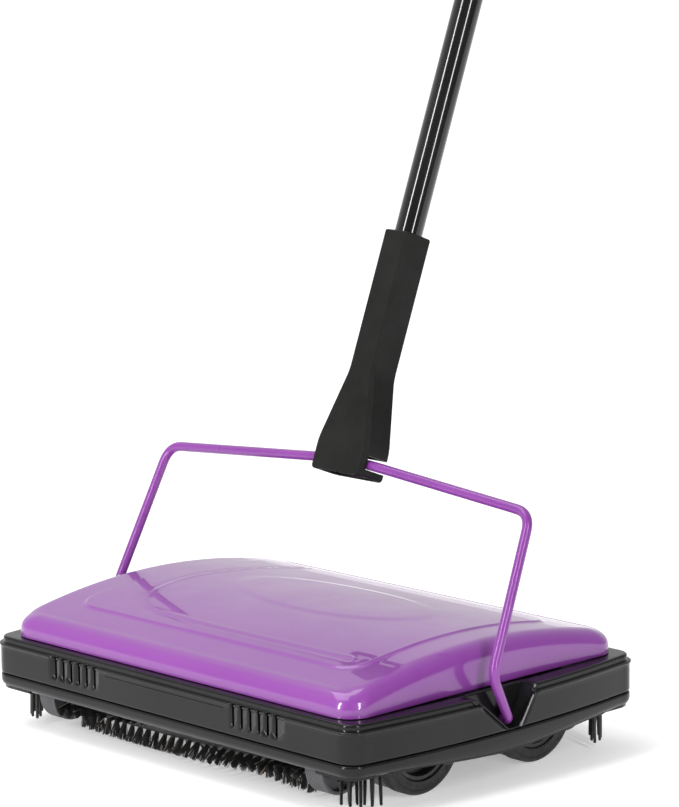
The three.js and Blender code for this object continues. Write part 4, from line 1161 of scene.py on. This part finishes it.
@dataclass
class CornerBrush:
    """Arc-shaped holder in one corner with nine bundles of long bristles."""

    side: Side
    end: End
    centre: tuple = (118.5, 79.0)
    radius: float = 12.5
    bundles: int = 9
    fibres: int = 72
    root_z: float = 22.4
    tip_z: float = 3.6

    def build(self) -> None:
        """Two staggered rows of bundles that splay apart as they go down, with uneven tips."""
        seed = 20 + 2 * (self.side is Side.LEFT) + (self.end is End.FRONT)
        rng = np.random.default_rng(seed)
        a = np.linspace(0.04, np.pi / 2, self.bundles)[:, None]
        count = (self.bundles, self.fibres)
        row = np.where(np.arange(self.bundles) % 2, -1.0, 1.0)[:, None]
        lean = rng.normal(0, 0.12, (self.bundles, 1))
        out = row * rng.uniform(0.3, 0.8, (self.bundles, 1))
        disc_r = np.sqrt(rng.uniform(0, 1, count))
        disc_a = rng.uniform(0, 2 * np.pi, count)
        across, along = disc_r * np.cos(disc_a), disc_r * np.sin(disc_a)
        root_r = self.radius + 1.3 * row
        base = self.spot(a + 0.75 * along / root_r, root_r + 0.8 * across, self.root_z + 0 * along)
        tip_r = root_r + out + 0.7 * across
        tip_a = a + (lean + 0.7 * along) / root_r
        tip_z = self.tip_z + np.abs(rng.normal(0, 0.7, count)) + 0.5 * disc_r
        tip = self.spot(tip_a, tip_r, tip_z)
        fibres = strands(base, tip, rng.normal(0, 0.08, base.shape), 0.27, 3)
        steps = np.linspace(-0.02, np.pi / 2 + 0.05, 25)
        arc = np.column_stack(
            [self.centre[0] + self.radius * np.cos(steps), self.centre[1] + self.radius * np.sin(steps)]
        )
        out_way = np.column_stack([np.cos(steps), np.sin(steps)])
        section = np.array(
            [(-3.2, 21.2), (3.2, 21.2), (3.2, 23.4), (2.9, 23.7), (-2.9, 23.7), (-3.2, 23.4)]
        )
        plan = arc[:, None] + section[None, :, 0:1] * out_way[:, None]
        level = np.broadcast_to(section[None, :, 1:2], (len(steps), len(section), 1))
        holder = Surface(np.concatenate([plan, level], -1).reshape(-1, 3))
        size = len(section)
        holder.faces = [tuple(reversed(f)) for f in grid_faces(len(steps), size, True)]
        last = (len(steps) - 1) * size
        holder.faces += [tuple(range(size)), tuple(reversed(range(last, last + size)))]
        brush = fibres.joined(holder)
        flip = np.array([self.side.value, self.end.value, 1.0])
        brush.points = brush.points * flip
        if flip[0] * flip[1] < 0:
            brush.faces = [tuple(reversed(f)) for f in brush.faces]
        tag = corner_tag(self.end, self.side)
        make_piece(
            f"corner_fibres_{tag}", brush, "head", MATERIALS["bristle"],
            (f"corner_brush_{tag}",), 30.0, False,
        )

    def spot(self, angle: np.ndarray, radius: np.ndarray, z: np.ndarray) -> np.ndarray:
        """Points round the holder's centre, in the rear right corner.

        Args:
            angle: angle of each point.
            radius: distance of each from the centre.
            z: level of each.

        Returns:
            Rows of x, y, z.
        """
        x = self.centre[0] + radius * np.cos(angle)
        y = self.centre[1] + radius * np.sin(angle)
        return np.stack(np.broadcast_arrays(x, y, z), -1).reshape(-1, 3)


@dataclass
class Bail:
    """Painted wire from one pivot, up over the cover and down to the other."""

    wire_d: float = 5.3
    top: tuple = (138.5, 23.3, 136.7)
    knee: tuple = (145.4, -12.4, 60.0)
    pivot: tuple = (142.2, PIVOT_Y, PIVOT_Z)
    end_x: float = 121.0
    rise: float = 11.0

    def apex(self) -> np.ndarray:
        """Middle of the cross bar, lifted along the wire's own lean.

        Returns:
            x, y, z.
        """
        lean = math.atan2(self.top[1] - self.knee[1], self.top[2] - self.knee[2])
        lift = self.rise * np.array([0, math.sin(lean), math.cos(lean)])
        return np.array([0, *self.top[1:]]) + lift

    def path(self) -> np.ndarray:
        """Straight legs joined by quadratic bends, each set back from its corner.

        Returns:
            Rows of x, y, z along the wire.
        """
        right = np.array([(self.end_x, *self.pivot[1:]), self.pivot, self.knee, self.top], float)
        left = right[::-1] * np.array([-1, 1, 1])
        corner = np.vstack([right, self.apex()[None], left])
        set_back = [4.2, 7.0, 10.0, 26.0, 10.0, 7.0, 4.2]
        t = np.linspace(0, 1, 15)[:, None]
        points = [corner[:1]]
        for i, back in enumerate(set_back, 1):
            before, here, after = corner[i - 1], corner[i], corner[i + 1]
            a = here + (before - here) * back / np.linalg.norm(before - here)
            b = here + (after - here) * back / np.linalg.norm(after - here)
            points.append((1 - t) ** 2 * a + 2 * t * (1 - t) * here + t**2 * b)
        return np.vstack([*points, corner[-1:]])

    def build(self) -> None:
        """Sweeps the wire; its ends are slightly rounded by a bevel."""
        wire = sweep(self.path(), self.wire_d / 2, 32, np.array([0.0, 1.0, 0.0]))
        bail = make_piece(
            "bail_wire", wire, "handle", MATERIALS["bail_paint"], ("bail",), 50.0
        )
        soften(bail, 0.6, 60.0)


@dataclass
class Handle:
    """Socket, tube sections, grip and hang cap, made upright about the axis and then leaned back."""

    lean: float = 21.06
    axis_y: float = 71.0
    axis_z: float = 250.0
    tube_r: float = 7.65
    tube_l: float = 268.5
    start: float = -54.0
    neck_l: float = 12.7
    half: float = 10.0
    neck_w: float = 9.6
    foot_w: float = 19.6
    socket_top: float = 14.2
    socket_end: float = -120.6
    bar: tuple = (-3.05, -112.7)
    slot_half: float = 3.75
    chamfer: float = 2.1
    grip_l: float = 118.0
    grip_r: float = 11.0
    eye_r: float = 7.4
    eye_bar: float = 2.3

    def leaned(self, surface: Surface) -> Surface:
        """Turns a surface back about X by the lean and moves it to the axis point.

        Args:
            surface: a piece made upright about the handle's axis.

        Returns:
            The leaned surface.
        """
        c, s = math.cos(math.radians(self.lean)), math.sin(math.radians(self.lean))
        x, y, z = surface.points.T
        points = np.column_stack([x, self.axis_y + y * c + z * s, self.axis_z - y * s + z * c])
        return Surface(points, surface.faces)

    def top(self) -> float:
        """Upper end of the last tube section, along the axis."""
        return self.start + 2 * (self.tube_l + self.neck_l + GAP) + self.tube_l

    def add(
        self, name: str, surface: Surface, slot: str, replaces: tuple, crease: float = 40.0
    ) -> bpy.types.Object:
        """Leans a surface and puts it into the scene as a piece of the handle.

        Args:
            name: the piece's name.
            surface: upright, about the handle's axis.
            slot: material slot, which also names the finish.
            replaces: CAD nodes that it stands for.
            crease: edges sharper than this many degrees stay sharp in shading.

        Returns:
            The new object.
        """
        return make_piece(name, self.leaned(surface), "handle", MATERIALS[slot], replaces, crease)

    def half_width(self, h: np.ndarray) -> np.ndarray:
        """Half width of the socket: neck, an easing flare, foot, and rounded ends.

        Args:
            h: height along the axis.

        Returns:
            Half width at that height.
        """
        offsets = np.linspace(-3.5, 3.5, 9)
        flare = np.mean([np.clip((-65 - h + o) / 39.0, 0, 1) for o in offsets], axis=0)
        width = self.neck_w + (self.foot_w - self.neck_w) * flare
        low = 2.0 * (1 - np.sqrt(1 - np.clip((self.socket_end + 2.4 - h) / 2.4, 0, 1) ** 2))
        return width - low

    def socket(self) -> None:
        """Lofts chamfered sections from foot to top, and leaves out the slot open to the rear."""
        y0, slot = self.bar[0] - self.slot_half, self.slot_half
        c = self.chamfer
        side_y = np.r_[np.linspace(c - self.half, y0, 3), np.linspace(y0, self.half - c, 14)[1:]]
        low, high = self.bar[1] - slot, self.bar[1] + slot
        h = np.unique(
            np.round(
                np.r_[
                    self.socket_end + np.array([0, 0.4, 1.0, 1.7, 2.4]), low, np.linspace(low, high, 7),
                    np.linspace(high, -60, 26), np.linspace(-60, self.socket_top - 0.6, 24),
                ],
                4,
            )
        )
        rows = []
        for level in h:
            w = float(self.half_width(np.array(level)))
            front_x = np.linspace(-1, 1, 13) * (w - c)
            plan = np.vstack(
                [
                    np.column_stack([front_x, 0 * front_x - self.half]),
                    np.column_stack([0 * side_y + w, side_y]),
                    np.column_stack([-front_x, 0 * front_x + self.half]),
                    np.column_stack([0 * side_y - w, side_y])[::-1],
                ]
            )
            rows.append(np.column_stack([plan, np.full(len(plan), level)]))
        around = np.arctan2(rows[-1][:, 1], rows[-1][:, 0])
        rim = rows[-1].copy()
        rim[:, :2] *= 0.93
        rim[:, 2] = self.socket_top
        rows.append(rim)
        for r, level in ((8.5, 14.2), (8.1, 14.1), (7.85, 13.6), (7.8, 4.0)):
            bore = [r * np.cos(around), r * np.sin(around), np.full(len(around), level)]
            rows.append(np.column_stack(bore))
        grid = np.stack(rows)
        after = np.roll(grid, -1, axis=1)
        middle = (grid[:-1] + after[:-1] + grid[1:] + after[1:]) / 4
        open_slot = (middle[..., 1] > y0) & (middle[..., 2] > low) & (middle[..., 2] < high)
        skin = Surface(grid.reshape(-1, 3), grid_faces(len(rows), grid.shape[1], True, ~open_slot))
        body = self.add("socket_body", skin, "socket_plastic", ("handle_socket",), 28.0)
        thicken(body, 2.0)
        soften(body, 0.35, 32.0)
        teeth = None
        for x in np.linspace(-15.0, 15.0, 13):
            tooth = block((x - 0.5, -9.6, self.socket_end + 0.5), (x + 0.5, -7.2, self.socket_end + 4.4))
            teeth = tooth if teeth is None else teeth.joined(tooth)
        comb = self.add("socket_teeth", teeth, "socket_plastic", ())
        soften(comb, 0.15, 30.0, 1)

    def tubes(self) -> None:
        """Turns each open tube, with rolled ends and, but for the last, a taper to its neck."""
        pitch = self.tube_l + self.neck_l + GAP
        r, t = self.tube_r, 0.8
        for i, tag in enumerate(("lower", "middle", "upper")):
            low = self.start + i * pitch
            high = low + self.tube_l
            outside = [(r - 0.25, low), (r, low + 0.3)]
            if tag == "upper":
                outside += [(r, high - 0.3), (r - 0.25, high), (r - t, high)]
                inside = [(r - t, low), (r - 0.25, low)]
            else:
                top = high + self.neck_l - 0.2
                n = r - 0.6
                outside += [(r, high - 0.5), (n, high + 3.5), (n, top - 0.4), (n - 0.3, top), (n - t, top)]
                inside = [(n - t, high + 3.5), (r - t, high - 1.0), (r - t, low), (r - 0.25, low)]
            tube = lathe(rounded_profile([*outside, *inside], 0.9, 5), 96)
            self.add(f"tube_{tag}_skin", tube, "tube_lacquer", (f"tube_{tag}",))

    def grip(self) -> None:
        """Foam sleeve, swelling in the middle, with fine rings and four finger rolls."""
        top = self.top()
        low = top - self.grip_l
        t = np.linspace(0, 1, 240)
        rolls = 0.55 * np.cos(2 * np.pi * 4 * t) * smooth(8 * t) * smooth(8 - 8 * t)
        swell = 0.75 * np.sin(np.pi * t) - rolls
        rings = 0.16 * np.cos(2 * np.pi * 40 * t)
        ends = 1.6 * (1 - np.sqrt(1 - np.clip(1 - t * 45, 0, 1) ** 2))
        ends = ends + 1.4 * (1 - np.sqrt(1 - np.clip(1 - (1 - t) * 55, 0, 1) ** 2))
        outside = np.column_stack([self.grip_r - 0.7 + swell + rings - ends, low + t * self.grip_l])
        bore = self.tube_r + 0.3
        profile = np.vstack([[(bore, low)], outside, [(bore, top), (bore, low)]])
        self.add("grip_sleeve", lathe(profile, 80), "grip_foam", ("grip",), 60.0)

    def cap(self) -> None:
        """Turned plug and shoulder with a ring-shaped eye on top."""
        top = self.top()
        plug = self.tube_r - 1.1
        turned = [
            (0, top - 14), (plug - 0.5, top - 14), (plug, top - 12), (plug, top + 0.3),
            (self.grip_r - 0.8, top + 0.3), (self.grip_r - 0.4, top + 1.6), (self.grip_r - 1.6, top + 5.4),
            (self.grip_r - 5, top + 8), (0, top + 8.2),
        ]
        cap = lathe(rounded_profile(turned, 0.8), 64)
        a = np.linspace(0, 2 * np.pi, 64, endpoint=False)[:, None]
        b = np.linspace(0, 2 * np.pi, 24, endpoint=False)[None]
        out = self.eye_r + self.eye_bar * np.cos(b)
        points = np.stack(
            [out * np.cos(a), self.eye_bar * np.sin(b) + 0 * a, top + 13.4 + out * np.sin(a)], -1
        )
        faces = [tuple(reversed(f)) for f in grid_faces(a.size + 1, b.size, True)]
        faces = [tuple(i % (a.size * b.size) for i in f) for f in faces]
        eye = Surface(points.reshape(-1, 3), faces)
        self.add("hang_eye", cap.joined(eye), "joint_plastic", ("hang_cap",), 35.0)

    def build(self) -> None:
        """Builds every piece of the handle."""
        self.socket()
        self.tubes()
        self.grip()
        self.cap()


@dataclass
class Fittings:
    """Small turned and moulded parts that keep their CAD shape and get a finish."""

    def dress(self) -> None:
        """Finishes, node by node."""
        corners = [corner_tag(end, side) for end in End for side in Side]
        pins = [f"axle_{tag}" for tag in corners]
        pins += ["roll_shaft_front", "roll_shaft_rear", "pan_hinge_rod"]
        finish_cad(pins, "pin_steel")
        finish_cad([f"tray_screw_{tag}" for tag in corners], "screw_steel")
        finish_cad(["roll_core_front", "roll_core_rear"], "core_plastic")
        finish_cad(["dust_pan_front", "dust_pan_rear"], "pan_plastic")
        finish_cad(["bail_bush_left", "bail_bush_right"], "bush_plastic")
        joints = ["screw_end_lower", "screw_end_middle", "nut_insert_middle", "nut_insert_upper"]
        finish_cad(joints, "joint_plastic")


@dataclass
class Studio:
    """Plain pale floor, soft lights and the camera."""

    azimuth: float = 45.86
    elevation: float = 9.745
    roll: float = -0.52
    place: tuple = (1.27348, -1.33986, 0.48189)
    lens: float = 178.43
    floor_half: float = 40.0
    bright_way: tuple = (-0.80, 0.35, 0.15)
    room_glow: tuple = (0.12, 0.82)

    def floor(self) -> None:
        """Wide pale floor that is not part of the object, with painted light: it glows at 0.36 within 0.4 m
        of the origin, where the object stands, rising to 0.7 at 4 m.
        """
        mesh = bpy.data.meshes.new("floor")
        s = self.floor_half
        mesh.from_pydata([(-s, -s, 0), (s, -s, 0), (s, s, 0), (-s, s, 0)], [], [(0, 1, 2, 3)])
        obj = bpy.data.objects.new("floor", mesh)
        bpy.context.scene.collection.objects.link(obj)
        material = bpy.data.materials.new("floor_paper_painted_glow")
        g = Graph(material)
        place = g.node("ShaderNodeTexCoord").outputs["Object"]
        tone = g.mix(g.noise(place, 3.0), (0.90, 0.90, 0.90, 1), (0.93, 0.93, 0.93, 1))
        shader = g.node("ShaderNodeBsdfPrincipled", {"Base Color": tone, "Roughness": 0.9})
        # painted light: the floor glows, less near the object (a little painted shade round it) and more far
        # out
        away = g.node("ShaderNodeVectorMath", {0: place}, operation="LENGTH").outputs[1]
        painted_glow_strength = g.ramp(away, 0.4, 4.0, 0.36, 0.7)
        floor_painted_glow = g.node("ShaderNodeEmission", {"Color": (1, 1, 1, 1), "Strength": painted_glow_strength})
        both = g.node("ShaderNodeAddShader", {0: shader.outputs[0], 1: floor_painted_glow.outputs[0]})
        g.tree.links.new(both.outputs[0], g.output.inputs[0])
        mesh.materials.append(material)

    def light(self, name: str, at: tuple, aim: tuple, size: tuple, power: float) -> None:
        """Area light at one point, aimed at another.

        Args:
            name: its name.
            at: where it hangs, in metres.
            aim: where it points.
            size: width and height.
            power: watts.
        """
        data = bpy.data.lights.new(name, "AREA")
        data.shape = "RECTANGLE"
        data.size, data.size_y = size
        data.energy = power
        obj = bpy.data.objects.new(name, data)
        bpy.context.scene.collection.objects.link(obj)
        obj.visible_camera = False
        obj.matrix_world = look_at(np.array(at), np.array(aim))

    def room(self) -> None:
        """World whose light rises smoothly from a dark side of the room to a bright one."""
        world = bpy.data.worlds.new("room")
        world.use_nodes = True
        nodes, links = world.node_tree.nodes, world.node_tree.links
        sky = nodes["Background"]
        where = nodes.new("ShaderNodeTexCoord")
        toward = nodes.new("ShaderNodeVectorMath")
        toward.operation = "DOT_PRODUCT"
        toward.inputs[1].default_value = self.bright_way
        blend = nodes.new("ShaderNodeMapRange")
        for key, value in enumerate((-0.4, 0.9, *self.room_glow), 1):
            blend.inputs[key].default_value = value
        links.new(where.outputs["Generated"], toward.inputs[0])
        links.new(toward.outputs["Value"], blend.inputs[0])
        links.new(blend.outputs[0], sky.inputs[1])
        sky.inputs[0].default_value = (1, 1, 1, 1)
        bpy.context.scene.world = world

    def camera(self) -> None:
        """Camera at its place, turned by azimuth, elevation and roll."""
        a, e, r = (math.radians(v) for v in (self.azimuth, self.elevation, self.roll))
        right = np.array([math.cos(a), math.sin(a), 0])
        back = np.array([math.sin(a) * math.cos(e), -math.cos(a) * math.cos(e), math.sin(e)])
        up = np.cross(back, right)
        x = math.cos(r) * right + math.sin(r) * up
        y = math.cos(r) * up - math.sin(r) * right
        data = bpy.data.cameras.new("camera")
        data.sensor_fit = "HORIZONTAL"
        data.sensor_width = 36.0
        data.lens = self.lens
        data.clip_end = 100.0
        camera = bpy.data.objects.new("camera", data)
        bpy.context.scene.collection.objects.link(camera)
        camera.matrix_world = placement(x, y, back, self.place)
        bpy.context.scene.camera = camera

    def build(self) -> None:
        """Floor, world, lights and camera."""
        self.floor()
        self.room()
        aim = (0.0, 0.0, 0.3)
        self.light("front_strip", (-0.1, -2.2, 0.95), aim, (0.28, 1.8), 36.0)
        self.light("right_strip", (2.15, -0.62, 1.1), aim, (0.24, 1.8), 28.0)
        self.light("top_softbox", (-0.7, -0.5, 2.2), (0, -0.1, 0), (2.0, 1.4), 22.0)
        self.camera()
        bpy.context.scene.view_settings.view_transform = "Standard"


def placement(x: np.ndarray, y: np.ndarray, z: np.ndarray, at: np.ndarray | tuple) -> Matrix:
    """Matrix whose columns are three axes and a place.

    Args:
        x: direction of local X.
        y: direction of local Y.
        z: direction of local Z.
        at: the place.

    Returns:
        The placement.
    """
    pose = np.eye(4)
    pose[:3, :] = np.column_stack([x, y, z, at])
    return Matrix(pose.tolist())


def look_at(at: np.ndarray, aim: np.ndarray) -> Matrix:
    """Placement whose -Z runs from at to aim and whose X is level.

    Args:
        at: where it stands.
        aim: where it looks.

    Returns:
        The placement.
    """
    back = (at - aim) / np.linalg.norm(at - aim)
    right = np.cross([0, 0, 1.0], back)
    right /= np.linalg.norm(right)
    return placement(right, np.cross(back, right), back, at)


def main() -> None:
    """Builds every sub-assembly in order, then the studio."""
    logging.basicConfig(level=logging.INFO)
    Cover().build()
    Housing().build()
    Tray().build()
    for side in Side:
        for end in End:
            Wheel(side, end).build()
            CornerBrush(side, end).build()
    for end in End:
        BrushRoll(end).build()
    Bail().build()
    Handle().build()
    Fittings().dress()
    Studio().build()


if __name__ == "__main__":
    main()
